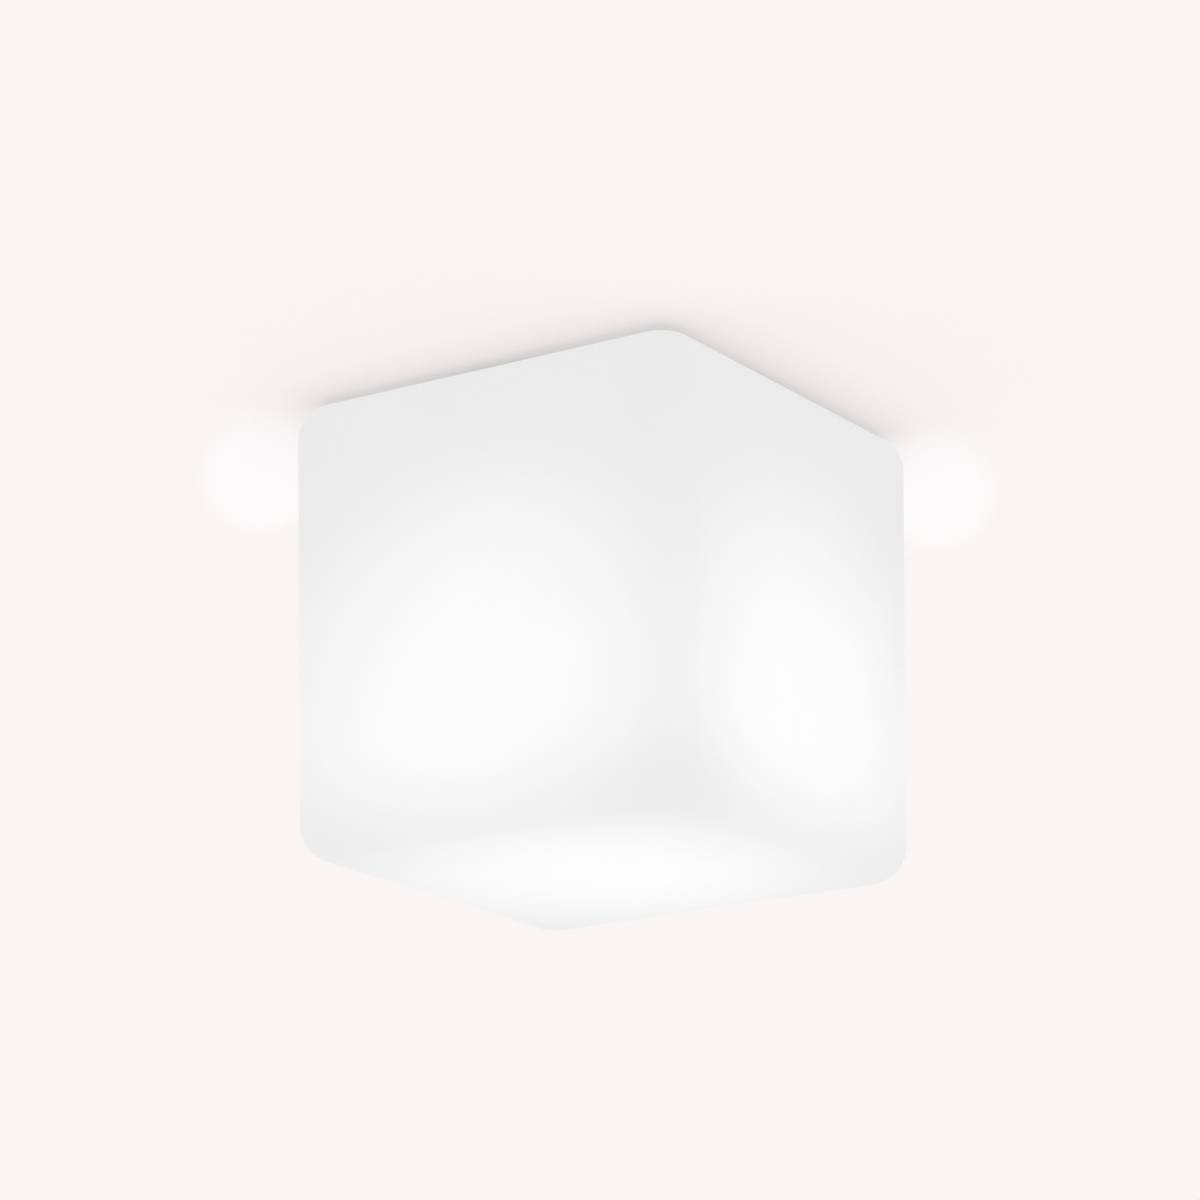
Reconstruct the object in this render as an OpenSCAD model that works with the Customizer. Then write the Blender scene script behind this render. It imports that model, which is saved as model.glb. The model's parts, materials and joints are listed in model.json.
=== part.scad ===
// Opal cube light for a porch ceiling, with an E27 lamp inside.
// The ceiling is the plane z = 0, and the light hangs below it. Millimetres and degrees.

/* [Diffuser] */
// Width of the cube at its widest, just under the round of its top edges
cube_width = 200; // [190:1:260]
// Height of the cube
cube_height = 200; // [185:1:260]
// Wall of the cube
wall = 3; // [2:0.25:4.5]
// Radius of the four upright edges, at the top
upright_edge_r = 19; // [17:0.5:26]
// Radius of the four edges round the bottom
lower_edge_r = 16; // [8:0.5:16]
// Radius of the four edges round the top
upper_edge_r = 15; // [8:0.5:16]
// Angle at which the sides draw in towards the bottom
side_draft = 0.75; // [0:0.05:1]
// Diameter of the mouth in the top
mouth_d = 150; // [144:1:156]
// Depth of the thickened collar round the mouth, with the wall
collar_depth = 6; // [5:0.5:8]
// Width of the collar, outwards from the mouth
collar_width = 5.5; // [4:0.5:7]
// Chamfer on the collar's lower inside edge, where the springs bear
collar_chamfer = 1.5; // [1:0.25:2]
// Room between the gasket and the top of the cube
seat_clearance = 0.2; // [0.1:0.05:0.5]

/* [Ceiling gasket] */
// Thickness of the gasket when it is pressed to the ceiling
gasket_t = 1.8; // [1:0.1:4]
// Width of the gasket outside the mouth, over the cube's top
gasket_over_cube = 5; // [3:0.5:8]
// Width of the gasket inside the pan's rim
gasket_over_pan = 5.5; // [4:0.5:7]

/* [Base pan] */
// Thickness of the pressed sheet
pan_sheet = 1.5; // [1:0.1:2]
// Height of the pan, over all
pan_height = 32; // [30:0.5:36]
// Room between the pan's rim and the mouth
pan_to_mouth = 2.5; // [2:0.1:3.5]
// Radius of the pan's two bends, at mid sheet
pan_bend_r = 2; // [1:0.25:3]
// Width of the lip turned in round the pan's open edge
pan_lip = 5; // [3:0.5:8]
// Distance of the stiffening bead from the rim
bead_inset = 10; // [9:0.5:11]
// Depth of the bead
bead_depth = 1.2; // [0.5:0.1:2]
// Width of the bead at its foot
bead_width = 5; // [4:0.5:6]

/* [Fixing slots] */
// Distance between the middles of the two slots
slot_spacing = 104; // [90:1:106]
// Length of a slot, end to end
slot_length = 12; // [8:0.5:12]
// Width of a slot
slot_width = 5.4; // [4.5:0.1:6.5]

/* [Springs] */
// Number of springs round the rim
spring_count = 3; // [3:1:4]
// Thickness of the spring leaf
spring_t = 0.6; // [0.4:0.05:0.8]
// Width of the spring leaf
spring_width = 16; // [12:0.5:20]
// Reach of the bow past the mouth
spring_bow = 4; // [3:0.25:5]
// Height of the flat foot that is riveted
spring_foot = 8; // [6:0.5:9]
// Room between the leaf and the collar's chamfer
spring_clearance = 0.3; // [0.2:0.05:0.4]
// Radius of the bends in the leaf, at mid sheet
spring_bend_r = 1.5; // [1:0.25:2]
// Radius of a rivet's shank
rivet_r = 1.6; // [1.2:0.1:2]
// Radius of a rivet's head
rivet_head_r = 2.75; // [2.4:0.05:3]
// Height of a rivet's head
rivet_head_h = 0.9; // [0.6:0.1:1.2]
// Distance between the two rivets of one spring
rivet_pitch = 8; // [7:0.5:9]

/* [Lamp bracket] */
// Thickness of the bracket strip
bracket_t = 1.5; // [1:0.1:2]
// Width of the bracket strip
bracket_width = 18; // [17:0.5:19]
// Half the distance between the bracket's two legs, at mid sheet
bracket_half_span = 26; // [24.5:0.5:26.5]
// Length of each foot, from the leg
foot_length = 12; // [10.5:0.5:12.5]
// Depth of the bracket's table under the ceiling
table_depth = 22; // [20:0.5:26]
// Distance of the bracket rivets from the leg
bracket_rivet_inset = 7; // [5:0.5:8]
// Distance between the two rivets of one foot
bracket_rivet_pitch = 11; // [9:0.5:12]
// Radius of the strip's bends, at mid sheet
bracket_bend_r = 2; // [1.5:0.25:2.5]
// Radius of the two lead holes in the table
lead_hole_r = 2.6; // [2:0.1:2.8]

/* [Lampholder] */
// Radius of the porcelain body
holder_r = 19.5; // [19:0.25:21]
// Length of the porcelain body
holder_length = 46; // [44:0.5:50]
// Depth of solid porcelain behind the socket
holder_back = 20; // [18:0.5:22]
// Radius inside the socket, behind the shell
socket_r = 14.6; // [14.4:0.1:15.5]
// Radius of the rounding at the mouth of the porcelain
holder_round = 2; // [1:0.25:2.5]
// Radius inside the brass shell
shell_bore_r = 13.5; // [13.4:0.05:13.8]
// Thickness of the shell
shell_t = 0.4; // [0.3:0.05:0.5]
// Length of the shell
shell_length = 23; // [20:0.5:23]
// Radius of the hole in the shell's floor
shell_floor_r = 11.5; // [11.25:0.25:12.25]
// Distance of each holder screw from the middle
holder_screw_x = 14; // [13.5:0.25:15]
// Depth to which each holder screw bites into the porcelain
holder_screw_bite = 8; // [6:0.5:10]
// Room under the end of each holder screw
holder_screw_room = 2; // [1:0.5:4]
// Sideways distance of each terminal from the middle
terminal_x = 7; // [6.5:0.1:7.5]
// Distance of the terminals from the middle line
terminal_y = 5.5; // [5.25:0.05:5.75]
// Width of a terminal, across the light
terminal_width = 6; // [5:0.25:6.5]
// Length of a terminal, along its screw
terminal_length = 8; // [7:0.25:8.5]
// Height of a terminal
terminal_height = 8; // [7:0.25:9]
// Depth of the terminals under the back of the porcelain
terminal_sunk = 3; // [2:0.25:4]
// Room round a terminal in its pocket
terminal_fit = 0.2; // [0.1:0.05:0.3]
// Width of the strips that join the terminals to the socket
riser_width = 4; // [3:0.25:4.5]
// Thickness of the centre contact leaf
contact_t = 0.5; // [0.3:0.05:0.6]
// Width of the centre contact leaf
contact_width = 6; // [4:0.5:6.5]
// Height of the centre contact's bow off the socket floor
contact_bow = 3; // [2:0.25:4]

/* [Terminal block] */
// Distance between poles
pole_pitch = 11.5; // [11.25:0.25:12.5]
// Length of the block along the leads
block_length = 18; // [17:0.5:19]
// Margin of the block past its outer poles
block_margin = 5.5; // [5:0.25:6]
// Height of the block, to the top of its screw towers
block_height = 15; // [14:0.5:16]
// Distance of the block's middle from the middle of the light
block_at_r = 45; // [43:0.5:46]
// Direction of the block from the middle of the light
block_at_angle = 45; // [40:1:50]
// Radius outside a brass clamp barrel
barrel_r = 2.8; // [2.5:0.05:2.9]
// Bore of a clamp barrel
barrel_bore_r = 1.7; // [1.5:0.05:1.9]
// Height of the barrels over the pan
barrel_height = 8.5; // [7.5:0.25:9]
// Radius of a clamp screw
clamp_screw_r = 1.5; // [1.25:0.05:1.6]
// Skin of the block round its barrels
block_skin = 1.3; // [1.1:0.05:1.35]
// Height of the block's base, where its fixing screws sit between the poles
block_base = 5; // [4:0.25:5.5]
// Radius of a block fixing screw's head
block_head_r = 2.1; // [1.9:0.05:2.2]

/* [Cable entry] */
// Distance of the cable hole from the middle of the light
cable_at_r = 44; // [42:0.5:46]
// Direction of the cable hole from the middle of the light
cable_at_angle = -45; // [-60:1:-40]
// Radius of the hole that holds the grommet
cable_hole_r = 10; // [9:0.25:11]
// Bore of the grommet, for the supply cable
grommet_bore_r = 4.2; // [3:0.1:5]
// Width of the grommet's flanges past its hole
grommet_flange = 2; // [1.5:0.25:2.5]
// Length of the grommet's nose under the pan
grommet_nose = 7; // [5:0.5:9]
// Wall of the grommet at the end of its nose
grommet_nose_wall = 1.6; // [1.2:0.1:2.5]
// Height of the grommet's lower flange
grommet_flange_h = 2; // [1.5:0.25:3]
// Distance of the cable clamp from the middle of the light
cable_clamp_x = 49; // [48.75:0.05:49.25]
// Length of the cable clamp bar
cable_clamp_length = 20; // [19:0.25:20.5]
// Width of the cable clamp bar
cable_clamp_width = 8; // [7:0.5:9]
// Height of the cable clamp bar
cable_clamp_height = 7; // [6:0.5:8]
// Radius of the groove that grips the cable
cable_groove_r = 4; // [3:0.25:4.25]
// Distance of each clamp screw from the end of the bar
cable_screw_inset = 3; // [2.75:0.05:3.25]

/* [Earth] */
// Place of the earth screw, across the light
earth_x = -12; // [-16:0.5:-10]
// Place of the earth screw, along the light
earth_y = 22; // [20:0.5:24]
// Thickness of the toothed washer
washer_t = 0.6; // [0.4:0.1:1]
// Radius of the toothed washer
washer_r = 4.4; // [4:0.1:5]
// Thickness of the tag's ring
tag_t = 0.8; // [0.6:0.1:1]
// Radius of the tag's ring
tag_r = 4.2; // [4:0.1:5]
// Length of the tag's crimped barrel
tag_barrel_length = 6; // [4:0.5:8]
// Wall of the tag's crimped barrel
tag_barrel_wall = 0.5; // [0.4:0.05:0.6]

/* [Screws and leads] */
// Radius of an M4 screw
m4_r = 2; // [1.8:0.05:2.2]
// Radius of an M4 screw's head
m4_head_r = 3.8; // [3.5:0.1:4]
// Height of an M4 screw's head
m4_head_h = 2.4; // [2:0.1:2.8]
// Radius of an M3 screw
m3_r = 1.5; // [1.3:0.05:1.6]
// Radius of an M3 screw's head
m3_head_r = 2.6; // [2.4:0.05:2.8]
// Height of an M3 screw's head
m3_head_h = 1.8; // [1.5:0.1:2.2]
// Room round a screw, rivet or barrel in its hole
hole_clearance = 0.05; // [0.02:0.01:0.1]
// Radius of a lead over its insulation
lead_r = 1.2; // [0.9:0.05:1.35]
// Straight run of a lead over the hole it goes down
lead_drop = 4; // [3:0.5:5]

/* [Lamp] */
// Radius of the lamp's globe
globe_r = 30; // [27.5:0.25:32]
// Wall of the lamp's globe
globe_wall = 1.2; // [1:0.1:1.5]
// Length of the lamp, from pip to globe
lamp_length = 110; // [104:1:116]
// Distance from the globe's middle up to its rim
globe_rim_rise = 14; // [12:0.5:15]
// Radius of the screw cap
cap_r = 13.15; // [13:0.05:13.25]
// Length of the screw cap with its pip
cap_length = 26.5; // [25:0.5:28]
// Radius of the contact pip
pip_r = 4.8; // [4:0.1:5.5]
// Height of the contact pip
pip_h = 1.6; // [1:0.1:2]
// Height of the insulator between pip and cap
insulator_h = 3.2; // [2.5:0.1:4]
// Thickness of the cap's sheet
cap_sheet = 0.4; // [0.3:0.05:0.5]
// Depth to which the housing's spigot fills the cap
cap_spigot = 10; // [8:0.5:14]
// Radius of the board that carries the LEDs
board_r = 21; // [18:0.25:22]
// Thickness of that board
board_t = 1.6; // [1:0.1:2]
// Radius of the ring of LED chips
chip_ring_r = 14; // [12:0.25:16]
// Width of an LED chip
chip_width = 3; // [2:0.1:3.5]
// Number of LED chips
chip_count = 10; // [6:1:12]
// Room between the lamp's pip and the centre contact, and between other close pieces
running_clearance = 0.3; // [0.25:0.05:0.5]

/* [Hidden] */
$fn = 72;

// Steps in the arc of a bend, and in the arc of a cube's edge
bend_steps = 4;
edge_steps = 6;
// Sides round an edge of the cube, for a full turn
edge_fn = 40;
// How far a cutting solid runs past what it cuts
over = 1;

// Heights of the main faces, from the ceiling down
pan_top = -gasket_t;
pan_floor = pan_top - pan_sheet;
pan_bottom = pan_top - pan_height;
cube_top = -gasket_t - seat_clearance;
cube_bottom = cube_top - cube_height;
collar_bottom = cube_top - collar_depth;
table_bottom = -table_depth;
table_top = table_bottom + bracket_t;
holder_mouth = table_bottom - holder_length;
socket_floor = table_bottom - holder_back;
contact_low = socket_floor - contact_bow - contact_t;
pip_top = contact_low - running_clearance;
cap_bottom = pip_top - cap_length;
globe_z = pip_top - lamp_length + globe_r;
globe_rim_z = globe_z + globe_rim_rise;
globe_rim_r = sqrt(globe_r * globe_r - globe_rim_rise * globe_rim_rise);

// Radii of the round pieces, from the mouth
mouth_r = mouth_d / 2;
pan_r = mouth_r - pan_to_mouth;
corner_axis = cube_width / 2 - upright_edge_r;

terminal_top = table_bottom - terminal_sunk;
terminal_bottom = terminal_top - terminal_height;

// Points of an arc in a plane
function arc(centre, r, from, to, steps) =
  [for (i = [0:steps]) centre + r * [cos(from + (to - from) * i / steps), sin(from + (to - from) * i / steps)]];
function unit(v) = v / norm(v);
function left_of(v) = [-v[1], v[0]];

// The outline of a bent strip of one thickness, from the line along its middle
function side_point(line, i, away) =
  let (
    last = len(line) - 1,
    before = left_of(unit(line[max(i, 1)] - line[max(i, 1) - 1])),
    after = left_of(unit(line[min(i, last - 1) + 1] - line[min(i, last - 1)])),
    split = unit(before + after)
  ) line[i] + split * away / (split * after);
function strip(line, t) = concat(
  [for (i = [0:len(line) - 1]) side_point(line, i, t / 2)],
  [for (i = [len(line) - 1:-1:0]) side_point(line, i, -t / 2)]
);

// The same line with each of its corners rounded to a bend
function bent(line, r) = [
  for (i = [0:len(line) - 1])
    if (i == 0 || i == len(line) - 1) line[i]
    else
      let (
        back = unit(line[i - 1] - line[i]),
        on = unit(line[i + 1] - line[i]),
        half = acos(back * on) / 2,
        centre = line[i] + unit(back + on) * r / sin(half),
        first = line[i] + back * r / tan(half) - centre,
        last = line[i] + on * r / tan(half) - centre,
        start = atan2(first[1], first[0]),
        turn = (atan2(last[1], last[0]) - start + 540) % 360 - 180
      )
      each arc(centre, r, start, start + turn, bend_steps)
];

// A point on the cubic curve through four control points
function bezier(c, t) =
  pow(1 - t, 3) * c[0] + 3 * t * pow(1 - t, 2) * c[1] + 3 * t * t * (1 - t) * c[2] + pow(t, 3) * c[3];

// A solid of revolution about a line through [x, y], from points [r, z]
module turned(points) {
  rotate_extrude() polygon(points);
}

// A slotted round-headed screw at the origin: the head is below z = 0, and the shank goes up
module screw(r, length, head_r, head_h) {
  difference() {
    union() {
      turned([
        [0, 0],
        [head_r, 0],
        [head_r, -head_h * 0.45],
        [head_r * 0.86, -head_h * 0.8],
        [head_r * 0.55, -head_h],
        [0, -head_h]
      ]);
      cylinder(r = r, h = length);
    }
    translate([-head_r - over, -head_r * 0.13, -head_h - over])
      cube([2 * head_r + 2 * over, head_r * 0.26, head_h * 0.5 + over]);
  }
}

// A rivet with a domed head at the origin, its shank along +x and its closed end past the sheets
module rivet(sheets) {
  rotate([0, -90, 0]) turned([
    [0, -sheets - rivet_head_h],
    [rivet_head_r * 0.7, -sheets - rivet_head_h],
    [rivet_head_r * 0.8, -sheets],
    [rivet_r - hole_clearance, -sheets],
    [rivet_r - hole_clearance, 0],
    [rivet_head_r, 0],
    [rivet_head_r * 0.8, rivet_head_h * 0.7],
    [rivet_head_r * 0.4, rivet_head_h],
    [0, rivet_head_h]
  ]);
}

// The cube as a solid, with each face moved in by the given amount
module soft_cube(inset, fn) {
  // the lower edge is no rounder than the upright edges are where it meets them
  low_edge_r = min(lower_edge_r, upright_edge_r - cube_height * tan(side_draft));
  low_r = low_edge_r - inset;
  high_r = upper_edge_r - inset;
  low_z = cube_bottom + low_edge_r;
  high_z = cube_top - upper_edge_r;
  // distance from the upright edge's axis to the side, at height z
  function side_r(z) = upright_edge_r - (high_z - z) * tan(side_draft) - inset;
  hull() for (x = [-1, 1], y = [-1, 1]) translate([x * corner_axis, y * corner_axis, 0])
    rotate_extrude($fn = fn) polygon(concat(
      [[0, low_z - low_r]],
      arc([side_r(low_z) - low_r, low_z], low_r, -90, 0, edge_steps),
      arc([side_r(high_z) - high_r, high_z], high_r, 0, 90, edge_steps),
      [[0, high_z + high_r]]
    ));
}

module diffuser() {
  color("white") difference() {
    union() {
      difference() {
        soft_cube(0, edge_fn);
        soft_cube(wall, edge_fn / 2);
      }
      translate([0, 0, collar_bottom])
        cylinder(r = mouth_r + collar_width, h = collar_depth - wall / 2);
    }
    translate([0, 0, collar_bottom - over]) cylinder(r = mouth_r, h = collar_depth + 2 * over);
    translate([0, 0, collar_bottom]) cylinder(r1 = mouth_r + collar_chamfer, r2 = mouth_r, h = collar_chamfer);
  }
}

module ceiling_gasket() {
  color("dimgray") difference() {
    translate([0, 0, pan_top]) cylinder(r = mouth_r + gasket_over_cube, h = gasket_t);
    translate([0, 0, pan_top - over]) cylinder(r = pan_r - gasket_over_pan, h = gasket_t + 2 * over);
  }
}

// A fixing slot, cut along y
module slot_cut() {
  run = slot_length - slot_width;
  for (y = [-run / 2, run / 2]) translate([0, y, pan_floor - over]) cylinder(d = slot_width, h = pan_sheet + 2 * over);
  translate([-slot_width / 2, -run / 2, pan_floor - over]) cube([slot_width, run, pan_sheet + 2 * over]);
}

// A round hole through the pan's floor
module floor_hole(r) {
  translate([0, 0, pan_floor - over]) cylinder(r = r, h = pan_sheet + 2 * over);
}

// Place of what stands on the pan
module at_block() {
  rotate(block_at_angle) translate([block_at_r, 0, pan_floor]) children();
}
module at_cable_hole() {
  rotate(cable_at_angle) translate([cable_at_r, 0, 0]) children();
}
module at_block_screws() {
  at_block() for (y = [-pole_pitch / 2, pole_pitch / 2]) translate([0, y, 0]) children();
}
module at_clamp_screws() {
  for (x = [-1, 1]) translate([cable_clamp_x + x * (cable_clamp_length / 2 - cable_screw_inset), 0, pan_floor])
    children();
}
module at_bracket_rivets() {
  for (x = [-1, 1], y = [-1, 1]) translate([
    x * (bracket_half_span + bracket_rivet_inset),
    y * bracket_rivet_pitch / 2,
    pan_floor - bracket_t
  ]) rotate([0, -90, 0]) children();
}
module at_spring_rivets() {
  for (i = [0:spring_count - 1], side = [-1, 1])
    rotate(90 + i * 360 / spring_count + side * rivet_angle) translate([spring_back, 0, rivet_z]) children();
}

// Heights of a spring: its foot stands on the lip's bend, and its bow lies along the collar's chamfer
foot_low = pan_bottom + pan_bend_r + pan_sheet;
foot_high = foot_low + spring_foot;
rivet_z = foot_low + spring_foot / 2;
rivet_angle = asin(rivet_pitch / 2 / pan_r);
spring_angle = 2 * asin(spring_width / 2 / pan_r);
crest_r = mouth_r + spring_bow;
tip_room = 1;
tip_length = 1.6;
// The springs are riveted over the pan's coat of enamel
enamel = 0.03;
spring_back = pan_r + enamel + spring_t;

module base_pan() {
  edge_r = pan_r - pan_sheet / 2;
  top_z = pan_top - pan_sheet / 2;
  low_z = pan_bottom + pan_sheet / 2;
  bead_r = pan_r - bead_inset;
  line = concat(
    [
      [0, top_z],
      [bead_r - bead_width / 2, top_z],
      [bead_r - bead_width / 5, top_z - bead_depth],
      [bead_r + bead_width / 5, top_z - bead_depth],
      [bead_r + bead_width / 2, top_z]
    ],
    arc([edge_r - pan_bend_r, top_z - pan_bend_r], pan_bend_r, 90, 0, bend_steps),
    arc([edge_r - pan_bend_r, low_z + pan_bend_r], pan_bend_r, 0, -90, bend_steps),
    [[pan_r - pan_lip, low_z]]
  );
  color("whitesmoke") difference() {
    turned(strip(line, pan_sheet));
    for (y = [-1, 1]) translate([0, y * slot_spacing / 2, 0]) slot_cut();
    at_cable_hole() floor_hole(cable_hole_r);
    at_block_screws() translate([0, 0, -pan_floor]) floor_hole(m3_r + hole_clearance);
    at_clamp_screws() translate([0, 0, -pan_floor]) floor_hole(m3_r + hole_clearance);
    translate([earth_x, earth_y, 0]) floor_hole(m4_r + hole_clearance);
    for (x = [-1, 1], y = [-1, 1])
      translate([x * (bracket_half_span + bracket_rivet_inset), y * bracket_rivet_pitch / 2, 0]) floor_hole(rivet_r);
    at_spring_rivets() rotate([0, -90, 0])
      translate([0, 0, -over]) cylinder(r = rivet_r, h = pan_sheet + spring_t + 2 * over, $fn = 24);
  }
}

module retaining_springs() {
  foot_r = spring_back - spring_t / 2;
  // The middle line of the upper leg runs parallel to the chamfer, this far below it
  gap = (spring_clearance + spring_t / 2) * sqrt(2);
  leg_sum = mouth_r + collar_bottom + collar_chamfer - gap;
  crest_z = leg_sum - crest_r;
  // The leaf comes back nearly to the rim, with room to bend inwards, and turns up at its tip
  tip_r = foot_r + tip_room;
  line = bent([
    [foot_r, foot_low],
    [foot_r, foot_high],
    [crest_r, crest_z],
    [tip_r, leg_sum - tip_r],
    [tip_r, leg_sum - tip_r + tip_length]
  ], spring_bend_r);
  color("silver") for (i = [0:spring_count - 1]) rotate(90 + i * 360 / spring_count - spring_angle / 2)
    difference() {
      rotate_extrude(angle = spring_angle) polygon(strip(line, spring_t));
      for (side = [-1, 1]) rotate(spring_angle / 2 + side * rivet_angle) translate([pan_r - over, 0, rivet_z])
        rotate([0, 90, 0]) cylinder(r = rivet_r, h = spring_t + 2 * over, $fn = 24);
    }
}

module spring_rivets() {
  color("lightgray") at_spring_rivets() rotate(180) rivet(spring_t + enamel + pan_sheet + hole_clearance);
}

module lamp_bracket() {
  foot_z = pan_floor - bracket_t / 2;
  table_z = table_bottom + bracket_t / 2;
  line = bent([
    [-bracket_half_span - foot_length, foot_z],
    [-bracket_half_span, foot_z],
    [-bracket_half_span, table_z],
    [bracket_half_span, table_z],
    [bracket_half_span, foot_z],
    [bracket_half_span + foot_length, foot_z]
  ], bracket_bend_r);
  color("gainsboro") difference() {
    rotate([90, 0, 0]) translate([0, 0, -bracket_width / 2])
      linear_extrude(bracket_width) polygon(strip(line, bracket_t));
    for (x = [-1, 1]) {
      translate([x * holder_screw_x, 0, table_bottom - over])
        cylinder(r = m4_r + hole_clearance, h = bracket_t + 2 * over);
      translate([x * terminal_x, terminal_y, table_bottom - over]) cylinder(r = lead_hole_r, h = bracket_t + 2 * over);
      for (y = [-1, 1]) translate([
        x * (bracket_half_span + bracket_rivet_inset),
        y * bracket_rivet_pitch / 2,
        pan_floor - bracket_t - over
      ]) cylinder(r = rivet_r, h = bracket_t + 2 * over);
    }
  }
}

module bracket_rivets() {
  color("lightgray") at_bracket_rivets() rivet(bracket_t + pan_sheet);
}

// Room for a terminal in the porcelain, open at the back
module terminal_pocket() {
  wide = terminal_width + 2 * terminal_fit;
  long = terminal_length + 2 * terminal_fit;
  low_z = terminal_bottom - terminal_fit;
  translate([-wide / 2, terminal_y - long / 2, low_z]) cube([wide, long, table_bottom + over - low_z]);
}

// A strip that stands on the socket floor and reaches up to a terminal
module riser(t, room) {
  translate([-riser_width / 2 - room, terminal_y - t / 2 - room, socket_floor - t - over * min(room, 1)])
    cube([riser_width + 2 * room, t + 2 * room, terminal_bottom - socket_floor + t]);
}

// The porcelain's body steps in to a slimmer skirt, and a low lip holds the shell in its mouth
holder_step = 0.8;
holder_step_h = 2;
holder_edge = 1;
lip_step = 0.2;
lip_h = 1.2;
module holder_body() {
  skirt_r = holder_r - holder_step;
  profile = concat(
    [[0, table_bottom]],
    arc([holder_r - holder_edge, table_bottom - holder_edge], holder_edge, 90, 0, bend_steps),
    [
      [holder_r, socket_floor],
      [skirt_r, socket_floor - holder_step_h]
    ],
    arc([skirt_r - holder_round, holder_mouth + holder_round], holder_round, 0, -90, bend_steps),
    [
      [socket_r - lip_step, holder_mouth],
      [socket_r - lip_step, holder_mouth + lip_h],
      [socket_r, holder_mouth + lip_h + 3 * lip_step],
      [socket_r, socket_floor],
      [0, socket_floor]
    ]
  );
  color("ivory") difference() {
    turned(profile);
    for (x = [-1, 1]) {
      translate([x * terminal_x, 0, 0]) {
        terminal_pocket();
        riser(contact_t, terminal_fit);
        translate([0, terminal_y, terminal_bottom + terminal_height / 2]) rotate([-90, 0, 0])
          cylinder(r = m3_head_r + 2 * terminal_fit, h = holder_r);
      }
      translate([x * holder_screw_x, 0, table_bottom - holder_screw_bite - holder_screw_room])
        cylinder(r = m4_r + hole_clearance, h = holder_screw_bite + holder_screw_room + over);
    }
  }
}

module holder_shell() {
  floor_z = socket_floor - shell_t;
  color("goldenrod") {
    turned([
      [shell_floor_r, socket_floor],
      [shell_bore_r + shell_t, socket_floor],
      [shell_bore_r + shell_t, socket_floor - shell_length],
      [shell_bore_r, socket_floor - shell_length],
      [shell_bore_r, floor_z],
      [shell_floor_r, floor_z]
    ]);
    translate([terminal_x, 0, 0]) riser(shell_t, 0);
    // tab from the foot of the riser out to the shell's floor
    tab_end = sqrt(pow(shell_bore_r, 2) - pow(terminal_x + riser_width / 2, 2));
    translate([terminal_x - riser_width / 2, terminal_y - shell_t / 2, floor_z])
      cube([riser_width, tab_end - terminal_y + shell_t / 2, shell_t]);
  }
}

// Length of the leaf that lies flat under the lamp's pip
contact_flat = 3;
module holder_contact() {
  base_z = socket_floor - contact_t / 2;
  foot_x = -terminal_x;
  line = bent([
    [foot_x - riser_width / 2, base_z],
    [foot_x + riser_width / 2, base_z],
    [-contact_flat / 2, base_z - contact_bow],
    [contact_flat / 2, base_z - contact_bow],
    [contact_flat / 2 + contact_bow, base_z - 0.4 * contact_bow]
  ], contact_t);
  color("peru") {
    rotate([90, 0, 0]) translate([0, 0, -contact_width / 2])
      linear_extrude(contact_width) polygon(strip(line, contact_t));
    translate([foot_x, 0, 0]) riser(contact_t, 0);
    translate([foot_x - riser_width / 2, 0, socket_floor - contact_t])
      cube([riser_width, terminal_y + contact_t / 2, contact_t]);
  }
}

// Brass left under a terminal's blind hole, and how far a terminal screw stands out of its terminal
terminal_floor = 0.6;
terminal_screw_out = 1;
module holder_terminals() {
  color("gold") for (x = [-1, 1]) translate([x * terminal_x, terminal_y, terminal_bottom])
    difference() {
      translate([-terminal_width / 2, -terminal_length / 2, 0])
        cube([terminal_width, terminal_length, terminal_height]);
      // blind hole for the lead, and the screw's hole across it
      translate([0, 0, terminal_floor]) cylinder(r = lead_r + terminal_fit, h = terminal_height);
      translate([0, 0, terminal_height / 2]) rotate([-90, 0, 0])
        cylinder(r = m3_r + hole_clearance, h = terminal_length);
    }
}

module holder_terminal_screws() {
  color("silver") for (x = [-1, 1])
    translate([
      x * terminal_x,
      terminal_y + terminal_length / 2 + terminal_screw_out,
      terminal_bottom + terminal_height / 2
    ]) rotate([90, 0, 0])
      screw(m3_r, terminal_length / 2 + terminal_screw_out - lead_r - terminal_fit, m3_head_r, m3_head_h);
}

module holder_screws() {
  color("silver") for (x = [-1, 1]) translate([x * holder_screw_x, 0, table_top]) mirror([0, 0, 1])
    screw(m4_r, bracket_t + holder_screw_bite, m4_head_r, m4_head_h);
}

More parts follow.
